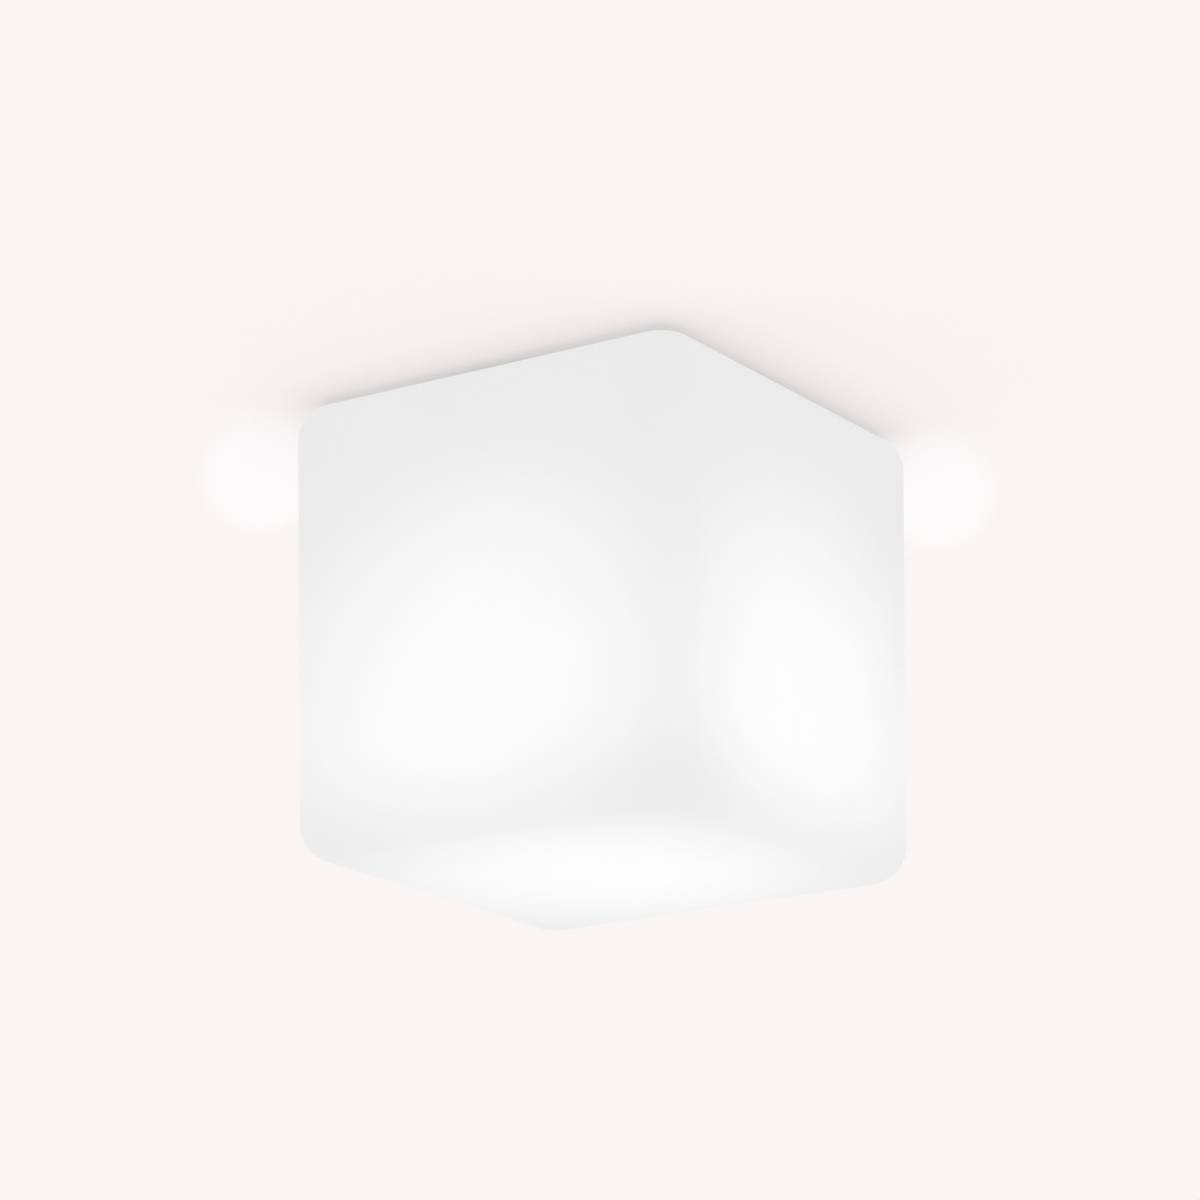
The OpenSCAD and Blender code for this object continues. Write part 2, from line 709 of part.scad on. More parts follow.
// Room round a screw's head in the block's towers, and the step from a pole's skin in to its towers
head_room = 0.2;
tower_step = 0.6;
module terminal_block() {
  width = 2 * pole_pitch + 2 * block_margin;
  hump_r = barrel_r + block_skin;
  color("ivory") at_block() difference() {
    union() {
      translate([-block_length / 2, -width / 2, -block_base]) cube([block_length, width, block_base]);
      for (y = [-1:1]) translate([0, y * pole_pitch, 0]) {
        translate([-block_length / 2, -hump_r, -barrel_height]) cube([block_length, 2 * hump_r, barrel_height]);
        translate([-block_length / 2, 0, -barrel_height]) rotate([0, 90, 0]) cylinder(r = hump_r, h = block_length);
        for (x = [-1, 1]) translate([x * block_length / 4, 0, -block_height])
          cylinder(r = hump_r - tower_step, h = block_height - over);
      }
    }
    for (y = [-1:1]) translate([0, y * pole_pitch, 0]) {
      translate([-block_length / 2 - over, 0, -barrel_height]) rotate([0, 90, 0])
        cylinder(r = barrel_r + hole_clearance, h = block_length + 2 * over);
      for (x = [-1, 1]) translate([x * block_length / 4, 0, -block_height - over])
        cylinder(r = m3_head_r + head_room, h = block_height + over - barrel_height);
    }
    for (y = [-pole_pitch / 2, pole_pitch / 2]) translate([0, y, 0]) {
      translate([0, 0, -block_height]) cylinder(r = m3_r + hole_clearance, h = block_height + over);
      translate([0, 0, -block_height - over])
        cylinder(r = block_head_r + head_room, h = block_height + over - block_base);
    }
  }
}

module terminal_clamps() {
  length = block_length - 2 * over;
  color("gold") at_block() for (y = [-1:1]) translate([0, y * pole_pitch, -barrel_height]) difference() {
    translate([-length / 2, 0, 0]) rotate([0, 90, 0]) cylinder(r = barrel_r, h = length);
    translate([-length / 2 - over, 0, 0]) rotate([0, 90, 0]) cylinder(r = barrel_bore_r, h = length + 2 * over);
    for (x = [-1, 1]) translate([x * block_length / 4, 0, -barrel_r - over])
      cylinder(r = clamp_screw_r + hole_clearance, h = barrel_r + over);
  }
}

// How far a clamp screw's head stands off its barrel, and its room over the lead that it will grip
clamp_screw_out = 1.6;
clamp_screw_gap = 0.2;
module terminal_screws() {
  head_z = -barrel_height - barrel_r - clamp_screw_out;
  color("silver") at_block() for (x = [-1, 1], y = [-1:1])
    translate([x * block_length / 4, y * pole_pitch, head_z]) screw(
      clamp_screw_r,
      -barrel_height - lead_r - clamp_screw_gap - head_z,
      m3_head_r - head_room,
      m3_head_h - head_room
    );
}

module block_screws() {
  color("silver") at_block_screws() translate([0, 0, -block_base])
    screw(m3_r, block_base + pan_sheet, block_head_r, m3_head_h);
}

module cable_grommet() {
  above = gasket_t - running_clearance;
  color("dimgray") at_cable_hole() turned([
    [grommet_bore_r, pan_top + above],
    [cable_hole_r + grommet_flange, pan_top + above],
    [cable_hole_r + grommet_flange, pan_top],
    [cable_hole_r - hole_clearance, pan_top],
    [cable_hole_r - hole_clearance, pan_floor],
    [cable_hole_r + grommet_flange, pan_floor],
    [cable_hole_r + grommet_flange * 0.7, pan_floor - grommet_flange_h],
    [cable_hole_r - over, pan_floor - grommet_flange_h],
    [grommet_bore_r + grommet_nose_wall, pan_floor - grommet_nose],
    [grommet_bore_r, pan_floor - grommet_nose]
  ]);
}

module cable_clamp() {
  color("ivory") difference() {
    translate([cable_clamp_x - cable_clamp_length / 2, -cable_clamp_width / 2, pan_floor - cable_clamp_height])
      cube([cable_clamp_length, cable_clamp_width, cable_clamp_height]);
    translate([cable_clamp_x, -cable_clamp_width, pan_floor]) rotate([-90, 0, 0])
      cylinder(r = cable_groove_r, h = 2 * cable_clamp_width);
    at_clamp_screws() translate([0, 0, -cable_clamp_height - over])
      cylinder(r = m3_r + hole_clearance, h = cable_clamp_height + 2 * over);
  }
}

module cable_clamp_screws() {
  color("silver") at_clamp_screws() translate([0, 0, -cable_clamp_height])
    screw(m3_r, cable_clamp_height + pan_sheet, m3_head_r, m3_head_h);
}

module earth_washer() {
  teeth = 12;
  color("silver") translate([earth_x, earth_y, pan_floor - washer_t]) difference() {
    cylinder(r = washer_r, h = washer_t);
    translate([0, 0, -over]) cylinder(r = m4_r + hole_clearance, h = washer_t + 2 * over);
    for (i = [0:teeth - 1]) rotate(i * 360 / teeth) translate([washer_r, 0, -over])
      cylinder(r = washer_r * PI / teeth / 2, h = washer_t + 2 * over, $fn = 16);
  }
}

// The tag's ring is under the washer, and its barrel starts just inside the ring's edge
tag_top = pan_floor - washer_t;
tag_overlap = 0.4;
tag_barrel_x = earth_x + tag_r - tag_overlap;
barrel_outer = lead_r + tag_barrel_wall;
tag_barrel_z = tag_top - barrel_outer - hole_clearance;
// How far the earth screw stands out over the pan
earth_screw_out = 0.8;
// How far a lead's end stays from the end of the hole that holds it
lead_end_gap = 1;

module earth_tag() {
  color("silver") difference() {
    union() {
      translate([earth_x, earth_y, tag_top - tag_t]) cylinder(r = tag_r, h = tag_t);
      translate([tag_barrel_x, earth_y, tag_barrel_z]) rotate([0, 90, 0])
        cylinder(r = barrel_outer, h = tag_barrel_length);
    }
    translate([earth_x, earth_y, tag_top - tag_t - over]) cylinder(r = m4_r + hole_clearance, h = tag_t + 2 * over);
    translate([tag_barrel_x + lead_end_gap, earth_y, tag_barrel_z]) rotate([0, 90, 0])
      cylinder(r = lead_r + hole_clearance, h = tag_barrel_length);
  }
}

module earth_screw() {
  stack = washer_t + tag_t;
  color("silver") translate([earth_x, earth_y, pan_floor - stack])
    screw(m4_r, stack + pan_sheet + earth_screw_out, tag_r - 1.5 * tag_overlap, m4_head_h);
}

// A round lead swept along one cubic curve after another
lead_sides = 8;
rings_per_curve = 7;
module lead(curves) {
  points = concat(
    [curves[0][0]],
    [for (c = curves, i = [1:rings_per_curve]) bezier(c, i / rings_per_curve)]
  );
  last = len(points) - 1;
  function ahead(i) = unit(points[min(i + 1, last)] - points[max(i - 1, 0)]);
  // The ring at each point lies square to the lead, turned as little as possible from the ring before
  function turn_on(side, along) = unit(side - (side * along) * along);
  function sides_from(i, side) =
    let (kept = turn_on(side, ahead(i))) concat([kept], i < last ? sides_from(i + 1, kept) : []);
  side = sides_from(0, [0.1, 0.2, 1]);
  rings = [
    for (i = [0:last], k = [0:lead_sides - 1])
      let (other = cross(ahead(i), side[i]), a = 360 * k / lead_sides)
        points[i] + lead_r * (cos(a) * side[i] + sin(a) * other)
  ];
  polyhedron(
    rings,
    concat(
      [[for (k = [lead_sides - 1:-1:0]) k]],
      [
        for (i = [0:last - 1], k = [0:lead_sides - 1])
          let (n = (k + 1) % lead_sides)
            [i * lead_sides + k, i * lead_sides + n, (i + 1) * lead_sides + n, (i + 1) * lead_sides + k]
      ],
      [[for (k = [0:lead_sides - 1]) last * lead_sides + k]]
    )
  );
}

// Where a lead starts, inside a clamp barrel, and the way it leaves
inward = [-cos(block_at_angle), -sin(block_at_angle), 0];
function pole_point(pole, along) =
  [0, 0, pan_floor - barrel_height] - (block_at_r - along) * inward
  + pole * pole_pitch * [-sin(block_at_angle), cos(block_at_angle), 0];
lead_start = block_length / 4;

// A lead to a terminal of the lampholder: out of the barrel, across, and down through the bracket's table
module holder_lead(pole, x) {
  from = pole_point(pole, lead_start);
  out = pole_point(pole, block_length / 2 + 2);
  over_hole = [x, terminal_y, table_top + lead_drop];
  end = [x, terminal_y, terminal_bottom + lead_end_gap];
  lead([
    [from, from + (out - from) / 3, from + (out - from) * 2 / 3, out],
    [out, out + lead_drop * inward, over_hole + [0, 0, 2 * lead_drop], over_hole],
    [over_hole, over_hole * 2 / 3 + end / 3, over_hole / 3 + end * 2 / 3, end]
  ]);
}

module lead_live() {
  color("saddlebrown") holder_lead(0, -terminal_x);
}

module lead_neutral() {
  color("royalblue") holder_lead(-1, terminal_x);
}

module lead_earth() {
  from = pole_point(1, lead_start);
  out = pole_point(1, block_length / 2 + 2);
  end = [tag_barrel_x + lead_end_gap + hole_clearance, earth_y, tag_barrel_z];
  before = [tag_barrel_x + tag_barrel_length + 2, earth_y, tag_barrel_z];
  color("yellowgreen") lead([
    [from, from + (out - from) / 3, from + (out - from) * 2 / 3, out],
    [out, out + 7 * inward, before + [8, 0, 0], before],
    [before, before * 2 / 3 + end / 3, before / 3 + end * 2 / 3, end]
  ]);
}

module lamp_globe() {
  color("snow") translate([0, 0, globe_z]) rotate_extrude() difference() {
    circle(r = globe_r);
    circle(r = globe_r - globe_wall);
    translate([-2 * globe_r, globe_rim_rise]) square(4 * globe_r);
    translate([-2 * globe_r, -2 * globe_r]) square([2 * globe_r, 4 * globe_r]);
  }
}

// The cap's top turns in to hold the insulator
cap_top = pip_top - pip_h - insulator_h;
cap_turn_in = 3;
cap_shoulder_h = 2.2;

// Steps in the housing's curve from the cap out to the globe
flare_steps = 9;
module lamp_housing() {
  flare = globe_rim_r - cap_r;
  depth = cap_bottom - globe_rim_z;
  spigot_r = cap_r - cap_sheet - hole_clearance;
  color("white") turned(concat(
    [[0, cap_bottom + cap_spigot], [spigot_r, cap_bottom + cap_spigot], [spigot_r, cap_bottom], [cap_r, cap_bottom]],
    [for (i = [1:flare_steps - 1]) [
      cap_r + flare * (1 - cos(180 * i / flare_steps)) / 2,
      cap_bottom - depth * i / flare_steps
    ]],
    [[globe_rim_r, globe_rim_z], [0, globe_rim_z]]
  ));
}

module lamp_cap() {
  color("silver") turned([
    [cap_r - cap_turn_in, cap_top],
    [cap_r - cap_turn_in + cap_sheet, cap_top],
    [cap_r, cap_top - cap_shoulder_h],
    [cap_r, cap_bottom],
    [cap_r - cap_sheet, cap_bottom],
    [cap_r - cap_sheet, cap_top - cap_shoulder_h - cap_sheet / 2],
    [cap_r - cap_turn_in, cap_top - 1.5 * cap_sheet]
  ]);
}

// Rim of the insulator round the pip, and over the cap's edge
insulator_edge = 0.5;
module lamp_insulator() {
  color("black") turned([
    [0, cap_top],
    [0, cap_top + insulator_h],
    [pip_r + insulator_edge, cap_top + insulator_h],
    [cap_r - cap_turn_in + cap_sheet / 2, cap_top + insulator_edge],
    [cap_r - cap_turn_in + cap_sheet / 2, cap_top]
  ]);
}

module lamp_contact() {
  color("silver") turned([
    [0, pip_top],
    [pip_r * 0.6, pip_top],
    [pip_r, pip_top - pip_h * 0.6],
    [pip_r, pip_top - pip_h],
    [0, pip_top - pip_h]
  ]);
}

module led_board() {
  color("whitesmoke") translate([0, 0, globe_rim_z - board_t]) cylinder(r = board_r, h = board_t);
}

module led_chips() {
  chip_h = 0.8;
  color("khaki") for (i = [0:chip_count - 1]) rotate(i * 360 / chip_count)
    translate([chip_ring_r - chip_width / 2, -chip_width / 2, globe_rim_z - board_t - chip_h])
      cube([chip_width, chip_width, chip_h]);
}

diffuser();
ceiling_gasket();
base_pan();
retaining_springs();
spring_rivets();
lamp_bracket();
bracket_rivets();
holder_body();
holder_shell();
holder_contact();
holder_terminals();
holder_terminal_screws();
holder_screws();
terminal_block();
terminal_clamps();
terminal_screws();
block_screws();
cable_grommet();
cable_clamp();
cable_clamp_screws();
earth_washer();
earth_tag();
earth_screw();
lead_live();
lead_neutral();
lead_earth();
lamp_globe();
lamp_housing();
lamp_cap();
lamp_insulator();
lamp_contact();
led_board();
led_chips();
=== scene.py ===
"""An opal cube light for a porch ceiling: its pieces, their finishes, and the ceiling that it hangs from."""

import json
import math

import bmesh
import bpy
from bpy.props import FloatProperty, FloatVectorProperty, PointerProperty
from bpy.types import Operator, Panel, PropertyGroup
from mathutils import Matrix, Vector


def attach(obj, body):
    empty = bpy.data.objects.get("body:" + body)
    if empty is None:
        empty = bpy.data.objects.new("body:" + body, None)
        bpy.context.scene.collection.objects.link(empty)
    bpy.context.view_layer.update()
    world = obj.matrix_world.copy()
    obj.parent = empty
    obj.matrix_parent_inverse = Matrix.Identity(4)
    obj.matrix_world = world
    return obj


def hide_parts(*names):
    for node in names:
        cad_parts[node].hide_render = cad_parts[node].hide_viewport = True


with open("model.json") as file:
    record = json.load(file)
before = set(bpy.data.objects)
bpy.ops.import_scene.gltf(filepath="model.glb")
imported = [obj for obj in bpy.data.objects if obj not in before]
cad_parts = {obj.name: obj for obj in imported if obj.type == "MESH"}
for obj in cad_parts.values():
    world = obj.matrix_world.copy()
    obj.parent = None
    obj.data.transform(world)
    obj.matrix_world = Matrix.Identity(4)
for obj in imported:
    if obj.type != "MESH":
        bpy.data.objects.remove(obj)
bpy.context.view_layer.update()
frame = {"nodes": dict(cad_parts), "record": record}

bl_info = {
    "name": "Opal Cube Ceiling Light",
    "version": (1, 0, 0),
    "blender": (4, 5, 0),
    "location": "View3D > Sidebar > Cube Light",
    "description": "Builds the finished pieces, materials and stage of an opal cube ceiling light",
    "category": "Add Mesh",
}


# Sizes and colours

def linear(code):
    """An sRGB hex colour as linear red, green, blue and alpha."""
    parts = [int(code[i:i + 2], 16) / 255 for i in (1, 3, 5)]
    return tuple(c / 12.92 if c <= 0.04045 else ((c + 0.055) / 1.055) ** 2.4 for c in parts) + (1.0,)


class DiffuserSizes(PropertyGroup):
    """The opal cube."""

    width: FloatProperty(
        name="Width", description="Width at its widest, under the round of its top edges",
        default=0.200, unit="LENGTH")
    top: FloatProperty(
        name="Top", description="Height of its top face under the ceiling", default=-0.002, unit="LENGTH")
    height: FloatProperty(name="Height", description="Height of the cube", default=0.200, unit="LENGTH")
    wall: FloatProperty(name="Wall", description="Wall of the cube", default=0.003, unit="LENGTH")
    upright_edge: FloatProperty(
        name="Upright edges", description="Radius of the four upright edges", default=0.019, unit="LENGTH")
    upper_edge: FloatProperty(
        name="Upper edges", description="Radius of the edges round the top", default=0.015, unit="LENGTH")
    lower_edge: FloatProperty(
        name="Lower edges", description="Radius of the edges round the bottom", default=0.016, unit="LENGTH")
    draft: FloatProperty(
        name="Draft", description="Angle at which the sides draw in towards the bottom",
        default=math.radians(0.75), subtype="ANGLE")
    mouth: FloatProperty(
        name="Mouth", description="Radius of the round mouth in the top", default=0.075, unit="LENGTH")
    mouth_round: FloatProperty(
        name="Mouth round", description="Rounding of the mouth's rim and of the collar",
        default=0.0006, unit="LENGTH")
    collar_depth: FloatProperty(
        name="Collar depth", description="Depth of the thickened collar round the mouth",
        default=0.006, unit="LENGTH")
    collar_width: FloatProperty(
        name="Collar width", description="Width of the collar, outwards from the mouth",
        default=0.0055, unit="LENGTH")
    collar_chamfer: FloatProperty(
        name="Collar chamfer", description="Chamfer where the springs bear", default=0.0015, unit="LENGTH")
    colour: FloatVectorProperty(
        name="Colour", description="Opal polyethylene with no light behind it",
        default=linear("#D3D3D4"), size=4, subtype="COLOR")
    glow: FloatVectorProperty(
        name="Glow", description="Colour of the light that comes through the wall",
        default=linear("#FFFEFD"), size=4, subtype="COLOR")
    glow_height: FloatProperty(
        name="Glow height", description="Height of the middle of the glow", default=-0.150, unit="LENGTH")
    top_glow: FloatProperty(
        name="Top glow", description="Share of the glow that is left on the flat top", default=0.45)
    dim_from: FloatProperty(
        name="Dim from", description="Depth under the top at which the glow starts to grow dim",
        default=0.0013, unit="LENGTH")
    dim_to: FloatProperty(
        name="Dim to", description="Depth under the top at which it is at its dimmest",
        default=0.0004, unit="LENGTH")


class LampSizes(PropertyGroup):
    """The screw-cap lamp."""

    globe_wall: FloatProperty(
        name="Globe wall", description="Wall of the globe", default=0.0012, unit="LENGTH")
    pitch: FloatProperty(
        name="Thread pitch", description="Rise of the cap's thread in one turn, 7 turns an inch",
        default=0.0254 / 7, unit="LENGTH")
    thread_depth: FloatProperty(
        name="Thread depth", description="Depth of the rolled thread", default=0.0011, unit="LENGTH")
    sheet: FloatProperty(
        name="Cap sheet", description="Thickness of the cap's sheet", default=0.0004, unit="LENGTH")
    shoulder: FloatProperty(
        name="Shoulder", description="Height of the cap's plain shoulder over its thread",
        default=0.0026, unit="LENGTH")
    shoulder_round: FloatProperty(
        name="Shoulder round", description="Radius of the shoulder's slope", default=0.0022, unit="LENGTH")
    skirt: FloatProperty(
        name="Skirt", description="Height of the cap's plain skirt under its thread",
        default=0.0022, unit="LENGTH")
    spigot_play: FloatProperty(
        name="Spigot play", description="Room between the cap and the housing's spigot in it",
        default=0.0002, unit="LENGTH")
    edge_round: FloatProperty(
        name="Edge round", description="Rounding of the housing's edges", default=0.0004, unit="LENGTH")
    rim_run: FloatProperty(
        name="Rim run", description="Upright run of the housing at its rim", default=0.0016, unit="LENGTH")
    colour: FloatVectorProperty(
        name="Globe colour", description="Opal polycarbonate",
        default=linear("#E6E5E2"), size=4, subtype="COLOR")
    glow: FloatVectorProperty(
        name="Globe glow", description="Warm white light of the lamp",
        default=linear("#FFF4E2"), size=4, subtype="COLOR")


class LeadSizes(PropertyGroup):
    """The three leads, and the places in the pan that they run between."""

    radius: FloatProperty(
        name="Radius", description="Radius over the insulation", default=0.0012, unit="LENGTH")
    block_distance: FloatProperty(
        name="Block distance", description="Distance of the terminal block from the middle",
        default=0.045, unit="LENGTH")
    block_angle: FloatProperty(
        name="Block angle", description="Direction of the terminal block from the middle",
        default=math.radians(45), subtype="ANGLE")
    block_length: FloatProperty(
        name="Block length", description="Length of the terminal block along its barrels",
        default=0.018, unit="LENGTH")
    pole_pitch: FloatProperty(
        name="Pole pitch", description="Distance between the block's barrels", default=0.0115, unit="LENGTH")
    barrel: FloatProperty(
        name="Barrel height", description="Height of the barrels' middle", default=-0.0118, unit="LENGTH")
    terminal: FloatVectorProperty(
        name="Terminal", description="Place of the lampholder's neutral terminal hole",
        default=(0.007, 0.0055, -0.032), subtype="TRANSLATION")
    table: FloatProperty(
        name="Table", description="Height of the lamp bracket's upper face", default=-0.0205, unit="LENGTH")
    drop: FloatProperty(
        name="Drop", description="Straight run of a lead over its hole", default=0.004, unit="LENGTH")
    way_out: FloatProperty(
        name="Way out", description="Straight run of a lead past the block or the tag",
        default=0.002, unit="LENGTH")
    tag: FloatVectorProperty(
        name="Tag", description="Inner end of the earth tag's barrel",
        default=(-0.0082, 0.022, -0.00565), subtype="TRANSLATION")
    tag_length: FloatProperty(
        name="Tag length", description="Length of the earth tag's barrel", default=0.006, unit="LENGTH")
    tag_gap: FloatProperty(
        name="Tag gap", description="Distance of the earth lead's end from the inner end of the barrel",
        default=0.00105, unit="LENGTH")
    block_swing: FloatProperty(
        name="Block swing", description="How far the earth lead's curve is drawn out from the block",
        default=0.007, unit="LENGTH")
    tag_swing: FloatProperty(
        name="Tag swing", description="How far the earth lead's curve is drawn out from the tag",
        default=0.008, unit="LENGTH")


class StageSizes(PropertyGroup):
    """The ceiling, the lights and the camera."""

    ceiling: FloatVectorProperty(
        name="Ceiling", description="Pale painted plaster",
        default=linear("#FCF6F6"), size=4, subtype="COLOR")
    ceiling_size: FloatProperty(
        name="Ceiling size", description="Width of the ceiling", default=24.0, unit="LENGTH")
    ceiling_height: FloatProperty(
        name="Ceiling height", description="Height of the ceiling over the gasket, which it just clears",
        default=0.0003, unit="LENGTH")
    patch: FloatVectorProperty(
        name="Patches", description="Where the light of far lamps falls on the ceiling",
        default=linear("#FEFCFC"), size=4, subtype="COLOR")
    room: FloatProperty(name="Room light", description="Level of the even light all round", default=1.0)
    focal_length: FloatProperty(
        name="Focal length", description="Camera lens, in millimetres on a 36 mm sensor", default=133.14)
    camera: FloatVectorProperty(
        name="Camera", description="Place of the camera",
        default=(1.00076, -1.52944, -0.62220), subtype="TRANSLATION")
    yaw: FloatProperty(
        name="Yaw", description="Turn of the camera to the left of +Y",
        default=math.radians(33.269), subtype="ANGLE")
    pitch: FloatProperty(
        name="Pitch", description="Tilt of the camera up from level",
        default=math.radians(16.470), subtype="ANGLE")
    roll: FloatProperty(
        name="Roll", description="Roll of the camera", default=math.radians(-0.341), subtype="ANGLE")


# Light that comes through the cube's wall at each distance from the middle of the glow, in metres. The lamp
# shines downwards, so distances under the middle are stretched by SINK
GLOW = [(0.095, 0.318), (0.105, 0.309), (0.115, 0.286), (0.130, 0.248), (0.150, 0.192), (0.175, 0.172)]
SINK = 2.0

# Two pale patches on the ceiling: middle, direction of the long side in degrees, half length and half width
PATCHES = [((-0.173, -0.020), 127.6, 0.117, 0.036), ((0.068, 0.175), 119.2, 0.118, 0.036)]

# Share of the ceiling's colour that is left at each distance from the cube's outline, negative over the cube
SHADE = [(-0.019, 0.93), (-0.008, 0.95), (0.0, 0.955), (0.008, 0.975), (0.018, 0.993), (0.035, 1.0),
         (0.06, 0.997), (0.12, 0.988), (0.2, 0.984)]

# The materials, by the slot of the record that each is the finish of
FINISHES = {}


# Modelling

def start():
    """Object mode, with nothing selected."""
    if bpy.context.object and bpy.context.object.mode != "OBJECT":
        bpy.ops.object.mode_set(mode="OBJECT")
    bpy.ops.object.select_all(action="DESELECT")


def take(piece):
    """Makes one piece the active and only selected object."""
    start()
    piece.select_set(True)
    bpy.context.view_layer.objects.active = piece


def pick(piece, kind, test):
    """In edit mode, selects the edges or vertices that pass the test, by their middle and their direction."""
    bpy.ops.mesh.select_mode(type=kind)
    bpy.ops.mesh.select_all(action="DESELECT")
    shape = bmesh.from_edit_mesh(piece.data)
    if kind == "EDGE":
        for edge in shape.edges:
            a, b = (v.co for v in edge.verts)
            edge.select_set(test((a + b) / 2, (b - a).normalized()))
    else:
        for vert in shape.verts:
            vert.select_set(test(vert.co, vert.normal))
    shape.select_flush_mode()
    bmesh.update_edit_mesh(piece.data)


def reach(node):
    """The lowest and the highest corner of a CAD node."""
    corners = list(zip(*frame["nodes"][node].bound_box))
    return Vector(map(min, corners)), Vector(map(max, corners))


def modify(piece, kind, **settings):
    """Adds a modifier to a piece and applies it."""
    take(piece)
    bpy.ops.object.modifier_add(type=kind)
    modifier = piece.modifiers[-1]
    for key, value in settings.items():
        setattr(modifier, key, value)
    bpy.ops.object.modifier_apply(modifier=modifier.name)


def arc(x, y, r, start_angle, end_angle, steps):
    """Points of an arc about (x, y), with the angles in degrees."""
    turns = [math.radians(start_angle + (end_angle - start_angle) * i / steps) for i in range(steps + 1)]
    return [(x + r * math.cos(a), y + r * math.sin(a)) for a in turns]


def draw(name, points):
    """A chain of edges through the points (r, z) in the plane y = 0, extruded from one vertex."""
    start()
    bpy.ops.mesh.primitive_plane_add(size=0.001, location=(0, 0, 0))
    piece = bpy.context.object
    piece.name = name
    bpy.ops.object.mode_set(mode="EDIT")
    bpy.ops.mesh.select_mode(type="VERT")
    bpy.ops.mesh.merge(type="CENTER")
    bpy.ops.transform.translate(value=(points[0][0], 0, points[0][1]))
    for (x0, z0), (x1, z1) in zip(points, points[1:]):
        bpy.ops.mesh.extrude_region_move(TRANSFORM_OT_translate={"value": (x1 - x0, 0, z1 - z0)})
    return piece


def merge(piece, threshold=1e-7):
    """Merges the points of a piece that stand on one another, and takes out faces without an area."""
    take(piece)
    bpy.ops.object.mode_set(mode="EDIT")
    bpy.ops.mesh.select_all(action="SELECT")
    bpy.ops.mesh.remove_doubles(threshold=threshold)
    bpy.ops.mesh.dissolve_degenerate(threshold=threshold)
    bpy.ops.object.mode_set(mode="OBJECT")


def turn(name, points, steps=96, closed=True):
    """A solid of revolution from an outline (r, z); a closed outline comes back to its first point."""
    piece = draw(name, list(points) + ([points[0]] if closed else []))
    bpy.ops.mesh.select_all(action="SELECT")
    bpy.ops.mesh.spin(steps=steps, angle=2 * math.pi, center=(0, 0, 0), axis=(0, 0, 1))
    bpy.ops.mesh.select_all(action="SELECT")
    bpy.ops.mesh.remove_doubles(threshold=1e-6)
    bpy.ops.mesh.select_all(action="SELECT")
    bpy.ops.mesh.normals_make_consistent(inside=False)
    bpy.ops.object.mode_set(mode="OBJECT")
    return piece


def finish(piece, body, slot, node, angle):
    """Shades a piece, gives it its material, and sets it on its body in place of its CAD node."""
    take(piece)
    bpy.ops.object.transform_apply(location=True, rotation=True, scale=True)
    bpy.ops.object.shade_smooth_by_angle(angle=math.radians(angle))
    modify(piece, "WEIGHTED_NORMAL", keep_sharp=True, weight=50)
    piece.data.materials.clear()
    piece.data.materials.append(FINISHES[slot])
    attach(piece, body)
    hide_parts(node)


# Materials

def add(tree, kind, inputs=None, **settings):
    """Adds a node with its settings, its values and its links."""
    node = tree.nodes.new(kind)
    for key, value in settings.items():
        setattr(node, key, value)
    for key, value in (inputs or {}).items():
        if isinstance(value, bpy.types.NodeSocket):
            tree.links.new(value, node.inputs[key])
        else:
            node.inputs[key].default_value = value
    return node


def blank(name):
    """A new material with an empty tree, and its tree."""
    material = bpy.data.materials.new(name)
    material.use_nodes = True
    material.node_tree.nodes.clear()
    return material, material.node_tree


def ramp(tree, value, steps):
    """A smooth curve through steps of (distance, level), as the level at a distance. No level is over 1."""
    near, far = steps[0][0], steps[-1][0]
    share = add(tree, "ShaderNodeMapRange", {"Value": value, "From Min": near, "From Max": far})
    curve = add(tree, "ShaderNodeValToRGB", {"Fac": share.outputs["Result"]})
    curve.color_ramp.interpolation = "CARDINAL"
    while len(curve.color_ramp.elements) < len(steps):
        curve.color_ramp.elements.new(0.5)
    for element, (distance, level) in zip(curve.color_ramp.elements, steps):
        element.position = (distance - near) / (far - near)
        element.color = (level, level, level, 1.0)
    return curve.outputs["Color"]


def grained(name, colour, other, grain, roughness, spread=0.06, bump=0.00002, detail=4.0,
            stretch=(1, 1, 1), **surface):
    """A surface whose colour, roughness and relief vary with one grain, which is a size in metres."""
    material, tree = blank(name)
    place = add(tree, "ShaderNodeTexCoord")
    mapped = add(tree, "ShaderNodeMapping", {"Vector": place.outputs["Object"], "Scale": stretch})
    noise = add(tree, "ShaderNodeTexNoise", {
        "Vector": mapped.outputs["Vector"], "Scale": 1 / grain, "Detail": detail, "Roughness": 0.55})
    tint = add(tree, "ShaderNodeMix", {
        "Factor": noise.outputs["Fac"], "A": linear(colour), "B": linear(other)}, data_type="RGBA")
    rough = add(tree, "ShaderNodeMapRange", {
        "Value": noise.outputs["Fac"], "From Min": 0.3, "From Max": 0.7,
        "To Min": roughness - spread, "To Max": roughness + spread})
    relief = add(tree, "ShaderNodeBump", {
        "Height": noise.outputs["Fac"], "Strength": 1.0, "Distance": bump})
    shader = add(tree, "ShaderNodeBsdfPrincipled", {
        "Base Color": tint.outputs["Result"], "Roughness": rough.outputs["Result"],
        "Normal": relief.outputs["Normal"], **surface})
    add(tree, "ShaderNodeOutputMaterial", {"Surface": shader.outputs["BSDF"]})
    return material


